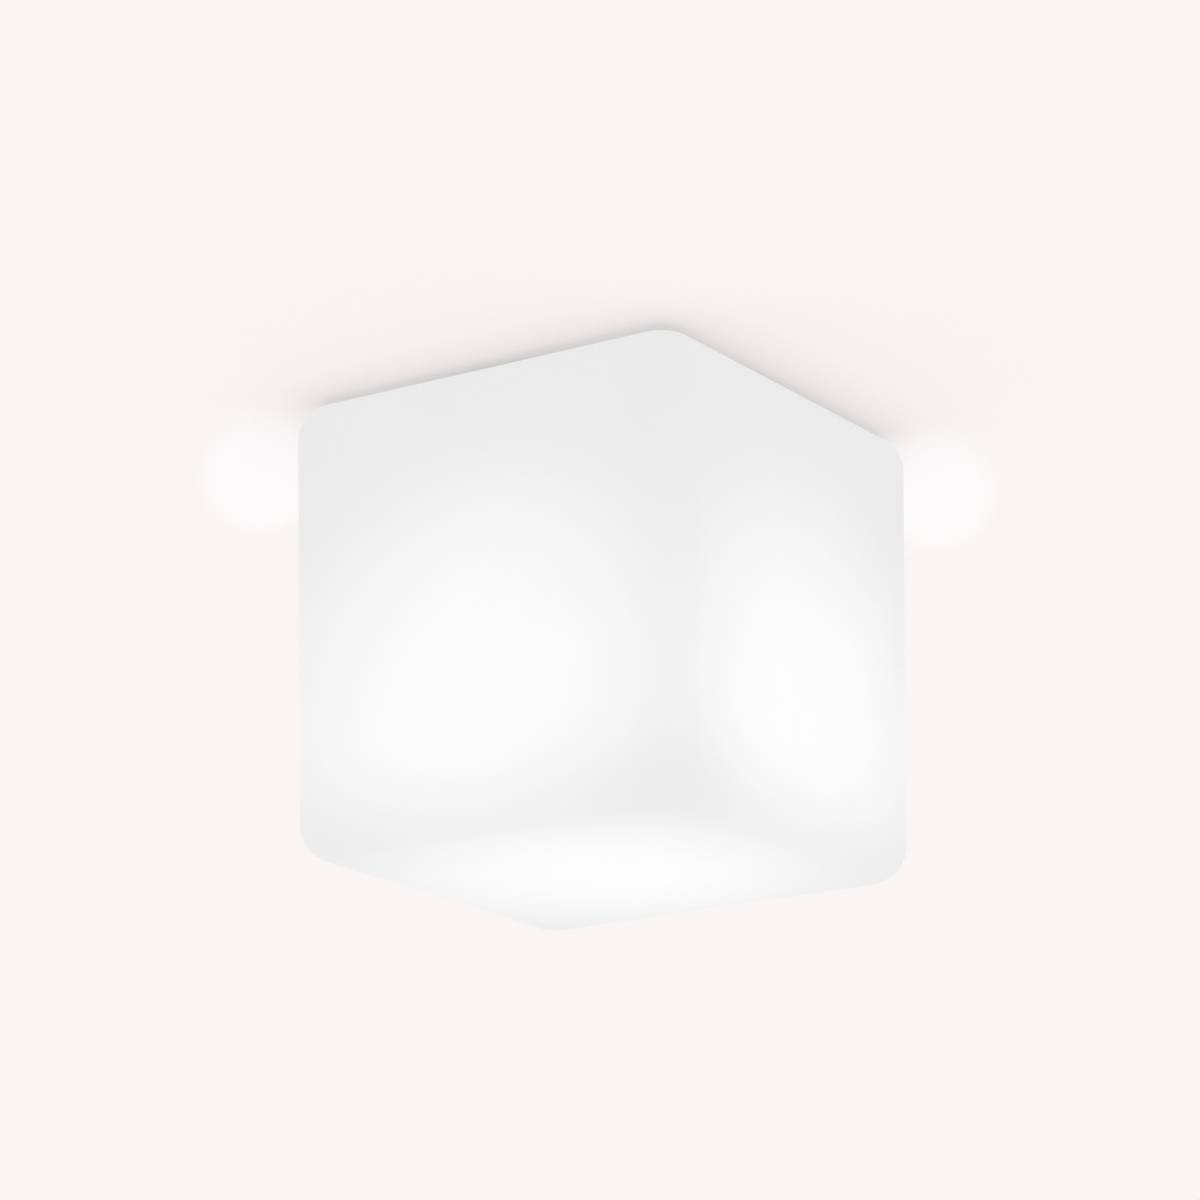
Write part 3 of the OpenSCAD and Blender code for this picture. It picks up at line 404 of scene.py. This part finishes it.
def opal_polyethylene():
    """Rotationally moulded opal polyethylene, satin, with the lamp's light coming through its wall."""
    sizes = bpy.context.scene.cube_light_diffuser
    material, tree = blank("polyethylene_opal_moulded")
    place = add(tree, "ShaderNodeTexCoord")
    # Moulded skin: a slight orange peel, about 2 mm from one rise to the next
    peel = add(tree, "ShaderNodeTexNoise", {
        "Vector": place.outputs["Object"], "Scale": 1 / 0.002, "Detail": 2.0})
    relief = add(tree, "ShaderNodeBump", {
        "Height": peel.outputs["Fac"], "Distance": 0.00002, "Strength": 0.5})
    rough = add(tree, "ShaderNodeMapRange", {
        "Value": peel.outputs["Fac"], "From Min": 0.3, "From Max": 0.7, "To Min": 0.52, "To Max": 0.6})
    # Distance from the middle of the glow, which is longer downwards
    away = add(tree, "ShaderNodeVectorMath", {
        0: place.outputs["Object"], 1: (0.0, 0.0, sizes.glow_height)}, operation="SUBTRACT")
    axes = add(tree, "ShaderNodeSeparateXYZ", {0: away.outputs["Vector"]})
    under = add(tree, "ShaderNodeMath", {0: axes.outputs["Z"], 1: -SINK}, operation="MULTIPLY")
    height = add(tree, "ShaderNodeMath", {
        0: axes.outputs["Z"], 1: under.outputs["Value"]}, operation="MAXIMUM")
    stretched = add(tree, "ShaderNodeCombineXYZ", {
        0: axes.outputs["X"], 1: axes.outputs["Y"], 2: height.outputs["Value"]})
    distance = add(tree, "ShaderNodeVectorMath", {0: stretched.outputs["Vector"]}, operation="LENGTH")
    light = ramp(tree, distance.outputs["Value"], GLOW)
    # The melted powder makes the wall thicker in some places, where it dims the light by one fiftieth
    wall = add(tree, "ShaderNodeTexNoise", {
        "Vector": place.outputs["Object"], "Scale": 1 / 0.045, "Detail": 2.0})
    thick = add(tree, "ShaderNodeMapRange", {
        "Value": wall.outputs["Fac"], "From Min": 0.3, "From Max": 0.7, "To Min": 0.98, "To Max": 1.02})
    # The pan keeps the lamp's light from the top of the cube, which grows dim over the last of its round
    top = sizes.top - sizes.glow_height
    shaded = add(tree, "ShaderNodeMapRange", {
        "Value": axes.outputs["Z"], "From Min": top - sizes.dim_from, "From Max": top - sizes.dim_to,
        "To Min": 1.0, "To Max": sizes.top_glow}, interpolation_type="SMOOTHSTEP")
    dimmed = add(tree, "ShaderNodeMath", {0: light, 1: shaded.outputs["Result"]}, operation="MULTIPLY")
    glow = add(tree, "ShaderNodeMath", {
        0: dimmed.outputs["Value"], 1: thick.outputs["Result"]}, operation="MULTIPLY")
    shader = add(tree, "ShaderNodeBsdfPrincipled", {
        "Base Color": sizes.colour, "Roughness": rough.outputs["Result"], "IOR": 1.51,
        "Specular IOR Level": 0.2, "Normal": relief.outputs["Normal"],
        "Emission Color": sizes.glow, "Emission Strength": glow.outputs["Value"]})
    add(tree, "ShaderNodeOutputMaterial", {"Surface": shader.outputs["BSDF"]})
    return material


def opal_polycarbonate():
    """Opal polycarbonate, fine matt: the lamp's globe, lit from inside by a ring of chips."""
    sizes = bpy.context.scene.cube_light_lamp
    material, tree = blank("polycarbonate_opal_moulded")
    place = add(tree, "ShaderNodeTexCoord")
    skin = add(tree, "ShaderNodeTexNoise", {
        "Vector": place.outputs["Object"], "Scale": 1 / 0.0008, "Detail": 2.0})
    relief = add(tree, "ShaderNodeBump", {
        "Height": skin.outputs["Fac"], "Distance": 0.00001, "Strength": 0.5})
    axes = add(tree, "ShaderNodeSeparateXYZ", {0: place.outputs["Object"]})
    # Brightest at the tip, and dimmer near the rim, which the chips face past
    light = add(tree, "ShaderNodeMapRange", {
        "Value": axes.outputs["Z"], "From Min": -0.150, "From Max": -0.112, "To Min": 0.42, "To Max": 0.2},
        interpolation_type="SMOOTHSTEP")
    shader = add(tree, "ShaderNodeBsdfPrincipled", {
        "Base Color": sizes.colour, "Roughness": 0.42, "IOR": 1.58, "Normal": relief.outputs["Normal"],
        "Emission Color": sizes.glow, "Emission Strength": light.outputs["Result"]})
    add(tree, "ShaderNodeOutputMaterial", {"Surface": shader.outputs["BSDF"]})
    return material


def striped_insulation():
    """Extruded earth insulation: green, with a yellow stripe along each side."""
    material, tree = blank("insulation_green_yellow")
    place = add(tree, "ShaderNodeTexCoord")
    # The stripes follow the lead: its own map runs once round it across, and its length along
    across = add(tree, "ShaderNodeSeparateXYZ", {0: place.outputs["UV"]})
    wave = add(tree, "ShaderNodeMath", {0: across.outputs["X"], 1: 4 * math.pi}, operation="MULTIPLY")
    side = add(tree, "ShaderNodeMath", {0: wave.outputs["Value"]}, operation="SINE")
    stripe = add(tree, "ShaderNodeMapRange", {
        "Value": side.outputs["Value"], "From Min": -0.05, "From Max": 0.05})
    tint = add(tree, "ShaderNodeMix", {
        "Factor": stripe.outputs["Result"], "A": linear("#2F8A3A"), "B": linear("#E3D43A")},
        data_type="RGBA")
    shader = add(tree, "ShaderNodeBsdfPrincipled", {
        "Base Color": tint.outputs["Result"], "Roughness": 0.4, "IOR": 1.53})
    add(tree, "ShaderNodeOutputMaterial", {"Surface": shader.outputs["BSDF"]})
    return material


def finishes():
    """One material for each of the real finishes, by its slot."""
    return {
        # Moulded EPDM rubber: matt and nearly black, with a fine bloom
        "epdm": grained(
            "epdm_rubber_moulded", "#1C1C1D", "#262627", 0.0015, 0.82, bump=0.00004, IOR=1.52),
        # Stoved white enamel on pressed steel: smooth, with a slight flow of the paint
        "white_enamel": grained(
            "steel_stoved_white_enamel", "#E9E8E4", "#EEEDE9", 0.006, 0.32, 0.04, 0.00003, 2.0,
            **{"IOR": 1.5, "Coat Weight": 0.3, "Coat Roughness": 0.12}),
        # Rolled stainless strip: bright, brushed along the strip
        "spring_steel": grained(
            "stainless_spring_strip", "#BCBEC1", "#C8CACC", 0.0009, 0.3, bump=0.000002,
            stretch=(1, 1, 0.12), Metallic=1.0),
        # Drawn aluminium rivets: soft grey shine
        "rivet_aluminium": grained(
            "drawn_aluminium", "#C9CACC", "#D6D7D8", 0.0008, 0.38, bump=0.000008, Metallic=1.0),
        # Bright zinc plate on steel: bluish grey, cloudy
        "zinc_plated_steel": grained(
            "bright_zinc_plate", "#AEB4BC", "#C3C8CE", 0.004, 0.34, 0.1, 0.000008, Metallic=1.0),
        # Glazed porcelain: warm white under a glassy coat
        "glazed_porcelain": grained(
            "porcelain_glazed", "#ECE9E0", "#EFECE3", 0.012, 0.3, 0.03, 0.000006, 1.0,
            **{"IOR": 1.5, "Coat Weight": 1.0, "Coat Roughness": 0.05, "Coat IOR": 1.5}),
        # Pressed brass: warm, a little dulled
        "brass": grained("pressed_brass", "#D2AC62", "#DDBB78", 0.002, 0.28, 0.08, 0.000008, Metallic=1.0),
        # Rolled phosphor bronze: redder than brass
        "phosphor_bronze": grained(
            "rolled_phosphor_bronze", "#C08A5A", "#CE9B6C", 0.002, 0.3, 0.08, 0.000008, Metallic=1.0),
        # Natural polyamide: waxy, yellowish white
        "natural_polyamide": grained(
            "polyamide_natural_moulded", "#E2DCCB", "#E9E4D6", 0.003, 0.46, 0.05,
            **{"IOR": 1.53, "Subsurface Weight": 0.15, "Subsurface Scale": 0.002}),
        # Extruded insulation: smooth, with a slight sheen
        "brown_insulation": grained(
            "insulation_brown", "#5A3218", "#65391D", 0.003, 0.4, bump=0.00001, IOR=1.53),
        "blue_insulation": grained(
            "insulation_blue", "#1F57A4", "#2762B2", 0.003, 0.4, bump=0.00001, IOR=1.53),
        "green_yellow_insulation": striped_insulation(),
        # Tinned copper: soft bright grey
        "tinned_copper": grained(
            "copper_tinned", "#C6C5C0", "#D4D3CF", 0.0015, 0.33, 0.08, 0.00001, Metallic=1.0),
        # Glass-filled PBT: white, even and slightly glossy
        "white_pbt": grained(
            "white_pbt_moulded", "#E9E9E7", "#EFEFED", 0.0025, 0.36, 0.05, 0.000012, IOR=1.55),
        # Nickel plate on brass: bright, slightly warm
        "nickel_plate": grained(
            "nickel_plated_brass", "#C9C6BF", "#D6D3CC", 0.002, 0.22, bump=0.000006, Metallic=1.0),
        # Vitreous black insulator: glassy
        "black_insulator": grained(
            "black_vitreous_insulator", "#141416", "#1B1B1E", 0.002, 0.18, 0.05, 0.00001, IOR=1.5),
        # White solder mask over an aluminium board: even and half matt
        "white_board": grained(
            "white_solder_mask", "#EDEDEA", "#F2F2EF", 0.0015, 0.42, bump=0.00001, IOR=1.5),
        # Silicone over phosphor: yellow, and lit
        "led_phosphor": grained(
            "silicone_over_phosphor", "#E8C95A", "#EED46E", 0.0006, 0.35, bump=0.00001,
            **{"IOR": 1.41, "Emission Color": linear("#FFF1D8"), "Emission Strength": 1.0}),
        "opal_polycarbonate": opal_polycarbonate(),
        "opal_polyethylene": opal_polyethylene(),
    }


# Pieces

class MESH_OT_cube_light_finishes(Operator):
    """Makes the materials, and gives each CAD node the finish of the real piece"""

    bl_idname = "mesh.cube_light_finishes"
    bl_label = "Finishes"

    def execute(self, context):
        FINISHES.update(finishes())
        slots = {part["node"]: part["material_slot"] for part in frame["record"]["subparts"]}
        for name, node in frame["nodes"].items():
            node.data.materials.clear()
            node.data.materials.append(FINISHES[slots[name]])
        return {"FINISHED"}


class MESH_OT_cube_light_diffuser(Operator):
    """Models the opal cube: a drafted box with rounded edges, hollow, with a round mouth in its top"""

    bl_idname = "mesh.cube_light_diffuser"
    bl_label = "Diffuser"

    def execute(self, context):
        sizes = context.scene.cube_light_diffuser
        cube = self.box(context, sizes)
        modify(cube, "SOLIDIFY", thickness=sizes.wall, offset=-1, use_even_offset=True)
        collar, cutter = self.mouth(sizes)
        modify(cube, "BOOLEAN", operation="UNION", solver="EXACT", object=collar)
        modify(cube, "BOOLEAN", operation="DIFFERENCE", solver="EXACT", object=cutter)
        for tool in (collar, cutter):
            bpy.data.objects.remove(tool)
        merge(cube, 5e-6)
        finish(cube, "diffuser", "opal_polyethylene", "diffuser", angle=32)
        return {"FINISHED"}

    def box(self, context, sizes):
        """The outer shape: a box with rounded edges, whose sides draw in downwards."""
        half, top, bottom = sizes.width / 2, sizes.top, sizes.top - sizes.height
        near = 1e-5
        start()
        bpy.ops.mesh.primitive_cube_add(size=1, location=(0, 0, (top + bottom) / 2),
                                        scale=(sizes.width, sizes.width, sizes.height))
        cube = context.object
        cube.name = "opal_cube"
        bpy.ops.object.transform_apply(location=True, rotation=True, scale=True)
        bpy.ops.object.mode_set(mode="EDIT")
        pick(cube, "EDGE", lambda middle, along: abs(along.z) > 0.9)
        bpy.ops.mesh.bevel(offset=sizes.upright_edge, segments=14, profile=0.5)
        # the sides have their full width where the round of the top begins
        for height in (top, bottom):
            share = 1 + (height - top + sizes.upper_edge) * math.tan(sizes.draft) / half
            pick(cube, "VERT", lambda place, normal: abs(place.z - height) < near)
            bpy.ops.transform.resize(value=(share, share, 1), center_override=(0, 0, height))
        for height, radius in ((top, sizes.upper_edge), (bottom, sizes.lower_edge)):
            pick(cube, "EDGE", lambda middle, along: abs(middle.z - height) < near)
            bpy.ops.mesh.bevel(offset=radius, segments=12, profile=0.5)
        bpy.ops.object.mode_set(mode="OBJECT")
        return cube

    def mouth(self, sizes):
        """The collar's ring, and the cutter that opens the mouth through it."""
        top, low, soft = sizes.top, sizes.top - sizes.collar_depth, sizes.mouth_round
        inner, outer = sizes.mouth, sizes.mouth + sizes.collar_width
        middle, chamfer = top - sizes.wall / 2, sizes.collar_chamfer
        # how far the tools reach past what they join or cut
        spare, brim, over, under = 0.002, 0.004, 0.0001, 0.001
        steps = 128
        collar = turn("collar", [
            (inner - spare, middle),
            (inner - spare, low),
            *arc(outer - soft, low + soft, soft, -90, 0, 4),
            (outer, middle),
        ], steps)
        # the cutter rounds the upper rim, and widens below to leave the chamfer
        cutter = turn("mouth_cutter", [
            (0, top + spare),
            (inner + brim, top + spare),
            (inner + brim, top + over),
            (inner + soft, top),
            *arc(inner + soft, top - soft, soft, 90, 180, 4),
            (inner, low + chamfer),
            (inner + chamfer, low),
            (inner + chamfer, low - under),
            (0, low - under),
        ], steps)
        return collar, cutter


class MESH_OT_cube_light_globe(Operator):
    """Models the lamp's opal globe: a ball cut flat at its rim, with a wall"""

    bl_idname = "mesh.cube_light_globe"
    bl_label = "Lamp globe"

    def execute(self, context):
        sizes = context.scene.cube_light_lamp
        low, high = reach("lamp_globe")
        radius = high.x
        start()
        bpy.ops.mesh.primitive_uv_sphere_add(segments=96, ring_count=64, radius=radius,
                                             location=(0, 0, low.z + radius))
        globe = context.object
        globe.name = "opal_globe"
        bpy.ops.object.transform_apply(location=True, rotation=True, scale=True)
        bpy.ops.object.mode_set(mode="EDIT")
        bpy.ops.mesh.select_all(action="SELECT")
        bpy.ops.mesh.bisect(plane_co=(0, 0, high.z), plane_no=(0, 0, 1), clear_outer=True)
        bpy.ops.object.mode_set(mode="OBJECT")
        modify(globe, "SOLIDIFY", thickness=sizes.globe_wall, offset=-1, use_even_offset=True)
        finish(globe, "lamp", "opal_polycarbonate", "lamp_globe", angle=40)
        return {"FINISHED"}


class MESH_OT_cube_light_housing(Operator):
    """Models the lamp's housing: one smooth curve from the cap out to the globe, with a soft rim"""

    bl_idname = "mesh.cube_light_housing"
    bl_label = "Lamp housing"

    def execute(self, context):
        sizes = context.scene.cube_light_lamp
        low, high = reach("lamp_housing")
        cap_low, cap_high = reach("lamp_cap")
        neck, rim, edge = cap_high.x, high.x, sizes.edge_round
        spigot = neck - sizes.thread_depth - sizes.sheet - sizes.spigot_play
        curve_top = cap_low.z - edge
        curve_bottom = low.z + sizes.rim_run
        steps = 24
        # half a wave, from the cap's radius to the rim's
        curve = [(neck + (rim - neck) * (1 - math.cos(math.pi * i / steps)) / 2,
                  curve_top + (curve_bottom - curve_top) * i / steps) for i in range(steps + 1)]
        housing = turn("lamp_housing_shell", [
            (0, high.z),
            (spigot, high.z),
            (spigot, cap_low.z),
            (neck - edge, cap_low.z),
            *curve,
            *arc(rim - edge, low.z + edge, edge, 0, -90, 4),
            (0, low.z),
        ], closed=False)
        finish(housing, "lamp", "white_pbt", "lamp_housing", angle=40)
        return {"FINISHED"}


class MESH_OT_cube_light_cap(Operator):
    """Models the lamp's screw cap: a rolled thread between a shoulder and a skirt"""

    bl_idname = "mesh.cube_light_cap"
    bl_label = "Lamp cap"

    def execute(self, context):
        sizes = context.scene.cube_light_lamp
        low, high = reach("lamp_cap")
        upper, lower = high.z - sizes.shoulder, low.z + sizes.skirt
        cap = self.thread(sizes, high.x, upper, lower)
        ends = self.ends(sizes, low.z, high, upper, lower)
        take(cap)
        for end in ends:
            end.select_set(True)
        bpy.ops.object.join()
        finish(cap, "lamp", "nickel_plate", "lamp_cap", angle=50)
        return {"FINISHED"}

    def thread(self, sizes, crest, upper, lower):
        """The rolled thread, cut flat at its upper and lower height."""
        valley = crest - sizes.thread_depth
        steps = 16
        # one wave of the thread, which the screw carries round and down
        cap = draw("screw_cap", [
            (valley + sizes.thread_depth * (1 + math.cos(2 * math.pi * i / steps)) / 2,
             upper + sizes.pitch * (1 - i / steps)) for i in range(steps + 1)])
        turns = math.ceil((upper - lower) / sizes.pitch) + 1
        modify(cap, "SCREW", angle=2 * math.pi, screw_offset=-sizes.pitch, iterations=turns,
               steps=64, render_steps=64, use_normal_calculate=True)
        take(cap)
        bpy.ops.object.mode_set(mode="EDIT")
        bpy.ops.mesh.select_all(action="SELECT")
        bpy.ops.mesh.remove_doubles(threshold=1e-6)
        for level, way in ((upper, 1), (lower, -1)):
            bpy.ops.mesh.select_all(action="SELECT")
            bpy.ops.mesh.bisect(plane_co=(0, 0, level), plane_no=(0, 0, way), clear_outer=True)
        bpy.ops.mesh.select_all(action="SELECT")
        bpy.ops.mesh.normals_make_consistent(inside=False)
        bpy.ops.object.mode_set(mode="OBJECT")
        modify(cap, "SOLIDIFY", thickness=sizes.sheet, offset=-1, use_even_offset=True)
        return cap

    def ends(self, sizes, bottom, high, upper, lower):
        """The shoulder and the skirt, which cover the thread's cut ends."""
        crest, top, slope = high.x, high.z, sizes.shoulder_round
        inside = crest - sizes.thread_depth - sizes.sheet
        neck = reach("lamp_insulator")[1].x
        # how far each covers the thread, and the chamfer there
        shoulder_cover, skirt_cover, chamfer = 0.0007, 0.0004, 0.0003
        # how far the shoulder's lip stands in the insulator, and how deep it is
        bite, lip = 0.0001, 0.0006
        shoulder = turn("shoulder", [
            (neck - bite, top),
            (neck + sizes.sheet, top),
            *arc(crest - slope, top - slope, slope, 75, 0, 6),
            (crest, upper - shoulder_cover + chamfer),
            (crest - chamfer, upper - shoulder_cover),
            (inside, upper - shoulder_cover),
            (inside, top - slope),
            (neck - bite, top - lip),
        ])
        skirt = turn("skirt", [
            (inside, lower + skirt_cover),
            (crest - chamfer, lower + skirt_cover),
            (crest, lower + skirt_cover - chamfer),
            (crest, bottom),
            (inside, bottom),
        ])
        return shoulder, skirt


class CURVE_OT_cube_light_leads(Operator):
    """Models the three leads: round insulation from the block to the lampholder and the earth tag"""

    bl_idname = "curve.cube_light_leads"
    bl_label = "Leads"

    bevel_steps = 6

    def execute(self, context):
        sizes = context.scene.cube_light_leads
        inward = Vector((-math.cos(sizes.block_angle), -math.sin(sizes.block_angle), 0))
        across = Vector((inward.y, -inward.x, 0))

        def pole_point(pole, along):
            return (Vector((0, 0, sizes.barrel)) - (sizes.block_distance - along) * inward
                    + pole * sizes.pole_pitch * across)

        def block_end(pole):
            return (pole_point(pole, sizes.block_length / 4),
                    pole_point(pole, sizes.block_length / 2 + sizes.way_out))

        # live and neutral come down through the bracket's table, straight over their holes
        for name, pole, side in (("live", 0, -1), ("neutral", -1, 1)):
            inside, out = block_end(pole)
            end = Vector((side * sizes.terminal[0], sizes.terminal[1], sizes.terminal[2]))
            over = Vector((end.x, end.y, sizes.table + sizes.drop))
            above = over + Vector((0, 0, 2 * sizes.drop))
            self.lead(context, name, [
                (inside, out), (out, out + sizes.drop * inward, above, over), (over, end)])
        # earth comes level into the tag's barrel
        inside, out = block_end(1)
        end = Vector(sizes.tag) + Vector((sizes.tag_gap, 0, 0))
        before = Vector(sizes.tag) + Vector((sizes.tag_length + sizes.way_out, 0, 0))
        beside = before + Vector((sizes.tag_swing, 0, 0))
        self.lead(context, "earth", [
            (inside, out), (out, out + sizes.block_swing * inward, beside, before), (before, end)])
        return {"FINISHED"}

    def lead(self, context, name, stretches):
        """A round tube along straight stretches (two points) and curved ones (four)."""
        start()
        bpy.ops.curve.primitive_bezier_curve_add(radius=0.01, location=(0, 0, 0))
        tube = context.object
        tube.name = name + "_lead"
        tube.data.dimensions = "3D"
        tube.data.resolution_u = 14
        tube.data.bevel_depth = context.scene.cube_light_leads.radius
        tube.data.bevel_resolution = self.bevel_steps
        tube.data.use_fill_caps = True
        spline = tube.data.splines[0]
        spline.bezier_points.add(len(stretches) - 1)
        points = spline.bezier_points
        for point in points:
            point.handle_left_type = point.handle_right_type = "FREE"
        for i, stretch in enumerate(stretches):
            first, last = stretch[0], stretch[-1]
            middle = stretch[1:-1] or (first.lerp(last, 1 / 3), first.lerp(last, 2 / 3))
            points[i].co, points[i].handle_right = first, middle[0]
            points[i + 1].handle_left, points[i + 1].co = middle[1], last
        points[0].handle_left = points[0].co
        points[-1].handle_right = points[-1].co
        bpy.ops.object.convert(target="MESH")
        tube = context.object
        # a round bevel has four sides, and two more for each step
        self.map_round(tube.data, 4 + 2 * self.bevel_steps)
        merge(tube)
        slot = {"live": "brown", "neutral": "blue", "earth": "green_yellow"}[name] + "_insulation"
        finish(tube, "base", slot, "lead_" + name, angle=40)

    def map_round(self, mesh, sides):
        """Maps each face of a tube by its place round the tube and by its ring."""
        layer = mesh.uv_layers[0] if mesh.uv_layers else mesh.uv_layers.new(name="round")
        for face in mesh.polygons:
            rounds = [mesh.loops[i].vertex_index % sides for i in face.loop_indices]
            wraps = 0 in rounds and sides - 1 in rounds
            for i, place in zip(face.loop_indices, rounds):
                place = sides if wraps and place == 0 else place
                layer.data[i].uv = (place / sides, mesh.loops[i].vertex_index // sides)


class OBJECT_OT_cube_light_stage(Operator):
    """Sets up the ceiling, the even light of a pale room, and the camera"""

    bl_idname = "object.cube_light_stage"
    bl_label = "Stage"

    def execute(self, context):
        sizes = context.scene.cube_light_stage
        self.ceiling(context, sizes)
        self.light(context, sizes)
        self.camera(context, sizes)
        context.scene.view_settings.view_transform = "Standard"
        return {"FINISHED"}

    def ceiling(self, context, sizes):
        """A painted ceiling just over the gasket, which can be seen only from below."""
        start()
        bpy.ops.mesh.primitive_plane_add(size=sizes.ceiling_size, location=(0, 0, sizes.ceiling_height),
                                         rotation=(math.pi, 0, 0))
        ceiling = context.object
        ceiling.name = "ceiling"
        bpy.ops.object.transform_apply(location=True, rotation=True, scale=True)
        material, tree = blank("matt_ceiling_paint")
        paint = add(tree, "ShaderNodeBsdfDiffuse", {"Color": self.paint(context, tree, sizes)})
        clear = add(tree, "ShaderNodeBsdfTransparent")
        side = add(tree, "ShaderNodeNewGeometry")
        seen = add(tree, "ShaderNodeMixShader", {
            0: side.outputs["Backfacing"], 1: paint.outputs["BSDF"], 2: clear.outputs["BSDF"]})
        add(tree, "ShaderNodeOutputMaterial", {"Surface": seen.outputs["Shader"]})
        ceiling.data.materials.append(material)
        # light from over the ceiling reaches the top of the cube, for the views from above
        ceiling.visible_diffuse = False
        ceiling.visible_shadow = False

    def paint(self, context, tree, sizes):
        """The ceiling's colour: a shade round the cube, and two pale patches from far lamps."""
        place = add(tree, "ShaderNodeTexCoord")
        # distance from the cube's outline on the ceiling
        cube = context.scene.cube_light_diffuser
        straight = cube.width / 2 - cube.upright_edge
        side = add(tree, "ShaderNodeVectorMath", {0: place.outputs["Object"]}, operation="ABSOLUTE")
        past = add(tree, "ShaderNodeVectorMath", {
            0: side.outputs["Vector"], 1: (straight, straight, 1.0)}, operation="SUBTRACT")
        outside = add(tree, "ShaderNodeVectorMath", {
            0: past.outputs["Vector"], 1: (0, 0, 0)}, operation="MAXIMUM")
        round_edge = add(tree, "ShaderNodeVectorMath", {0: outside.outputs["Vector"]}, operation="LENGTH")
        distance = add(tree, "ShaderNodeMath", {
            0: round_edge.outputs["Value"], 1: cube.upright_edge}, operation="SUBTRACT")
        shaded = add(tree, "ShaderNodeMix", {
            "Factor": 1.0, "A": sizes.ceiling, "B": ramp(tree, distance.outputs["Value"], SHADE)},
            data_type="RGBA", blend_type="MULTIPLY")
        colour = shaded.outputs["Result"]
        for middle, direction, length, width in PATCHES:
            patch = add(tree, "ShaderNodeMapping", {
                "Vector": place.outputs["Object"], "Location": (*middle, 0.0),
                "Rotation": (0, 0, math.radians(direction)), "Scale": (length, width, 1)},
                vector_type="TEXTURE")
            out = add(tree, "ShaderNodeVectorMath", {0: patch.outputs["Vector"]}, operation="LENGTH")
            inside = add(tree, "ShaderNodeMapRange", {
                "Value": out.outputs["Value"], "From Min": 1.0, "From Max": 0.45},
                interpolation_type="SMOOTHSTEP")
            lit = add(tree, "ShaderNodeMix", {
                "Factor": inside.outputs["Result"], "A": colour, "B": sizes.patch}, data_type="RGBA")
            colour = lit.outputs["Result"]
        return colour

    def light(self, context, sizes):
        """An even white room."""
        world = bpy.data.worlds.new("pale_room")
        context.scene.world = world
        world.use_nodes = True
        tree = world.node_tree
        tree.nodes.clear()
        sky = add(tree, "ShaderNodeBackground", {"Color": (1, 1, 1, 1), "Strength": sizes.room})
        add(tree, "ShaderNodeOutputWorld", {"Surface": sky.outputs["Background"]})

    def camera(self, context, sizes):
        """The photograph's view: from below and to the right, with a long lens."""
        yaw, pitch, roll = sizes.yaw, sizes.pitch, sizes.roll
        ahead = Vector((-math.sin(yaw) * math.cos(pitch), math.cos(yaw) * math.cos(pitch), math.sin(pitch)))
        right = Vector((math.cos(yaw), math.sin(yaw), 0))
        rolled = Matrix.Rotation(roll, 3, -ahead)
        right, up = rolled @ right, rolled @ right.cross(ahead)
        start()
        bpy.ops.object.camera_add(location=sizes.camera)
        camera = context.object
        camera.rotation_euler = Matrix((right, up, -ahead)).transposed().to_euler()
        camera.data.lens = sizes.focal_length
        camera.data.sensor_width = 36
        camera.data.clip_start = 0.05
        camera.data.clip_end = 100
        context.scene.camera = camera


class VIEW3D_PT_cube_light(Panel):
    """Lists the steps that build the light"""

    bl_label = "Cube Light"
    bl_space_type = "VIEW_3D"
    bl_region_type = "UI"
    bl_category = "Cube Light"

    def draw(self, context):
        for step in STEPS:
            self.layout.operator(step)


CLASSES = [
    DiffuserSizes,
    LampSizes,
    LeadSizes,
    StageSizes,
    MESH_OT_cube_light_finishes,
    MESH_OT_cube_light_diffuser,
    MESH_OT_cube_light_globe,
    MESH_OT_cube_light_housing,
    MESH_OT_cube_light_cap,
    CURVE_OT_cube_light_leads,
    OBJECT_OT_cube_light_stage,
    VIEW3D_PT_cube_light,
]
STEPS = [cls.bl_idname for cls in CLASSES if issubclass(cls, Operator)]


def register():
    for cls in CLASSES:
        bpy.utils.register_class(cls)
    bpy.types.Scene.cube_light_diffuser = PointerProperty(type=DiffuserSizes)
    bpy.types.Scene.cube_light_lamp = PointerProperty(type=LampSizes)
    bpy.types.Scene.cube_light_leads = PointerProperty(type=LeadSizes)
    bpy.types.Scene.cube_light_stage = PointerProperty(type=StageSizes)


def unregister():
    for name in ("cube_light_diffuser", "cube_light_lamp", "cube_light_leads", "cube_light_stage"):
        delattr(bpy.types.Scene, name)
    for cls in reversed(CLASSES):
        bpy.utils.unregister_class(cls)


def main():
    register()
    bpy.ops.mesh.cube_light_finishes()
    bpy.ops.mesh.cube_light_diffuser()
    bpy.ops.mesh.cube_light_globe()
    bpy.ops.mesh.cube_light_housing()
    bpy.ops.mesh.cube_light_cap()
    bpy.ops.curve.cube_light_leads()
    bpy.ops.object.cube_light_stage()


if __name__ == "__main__":
    main()
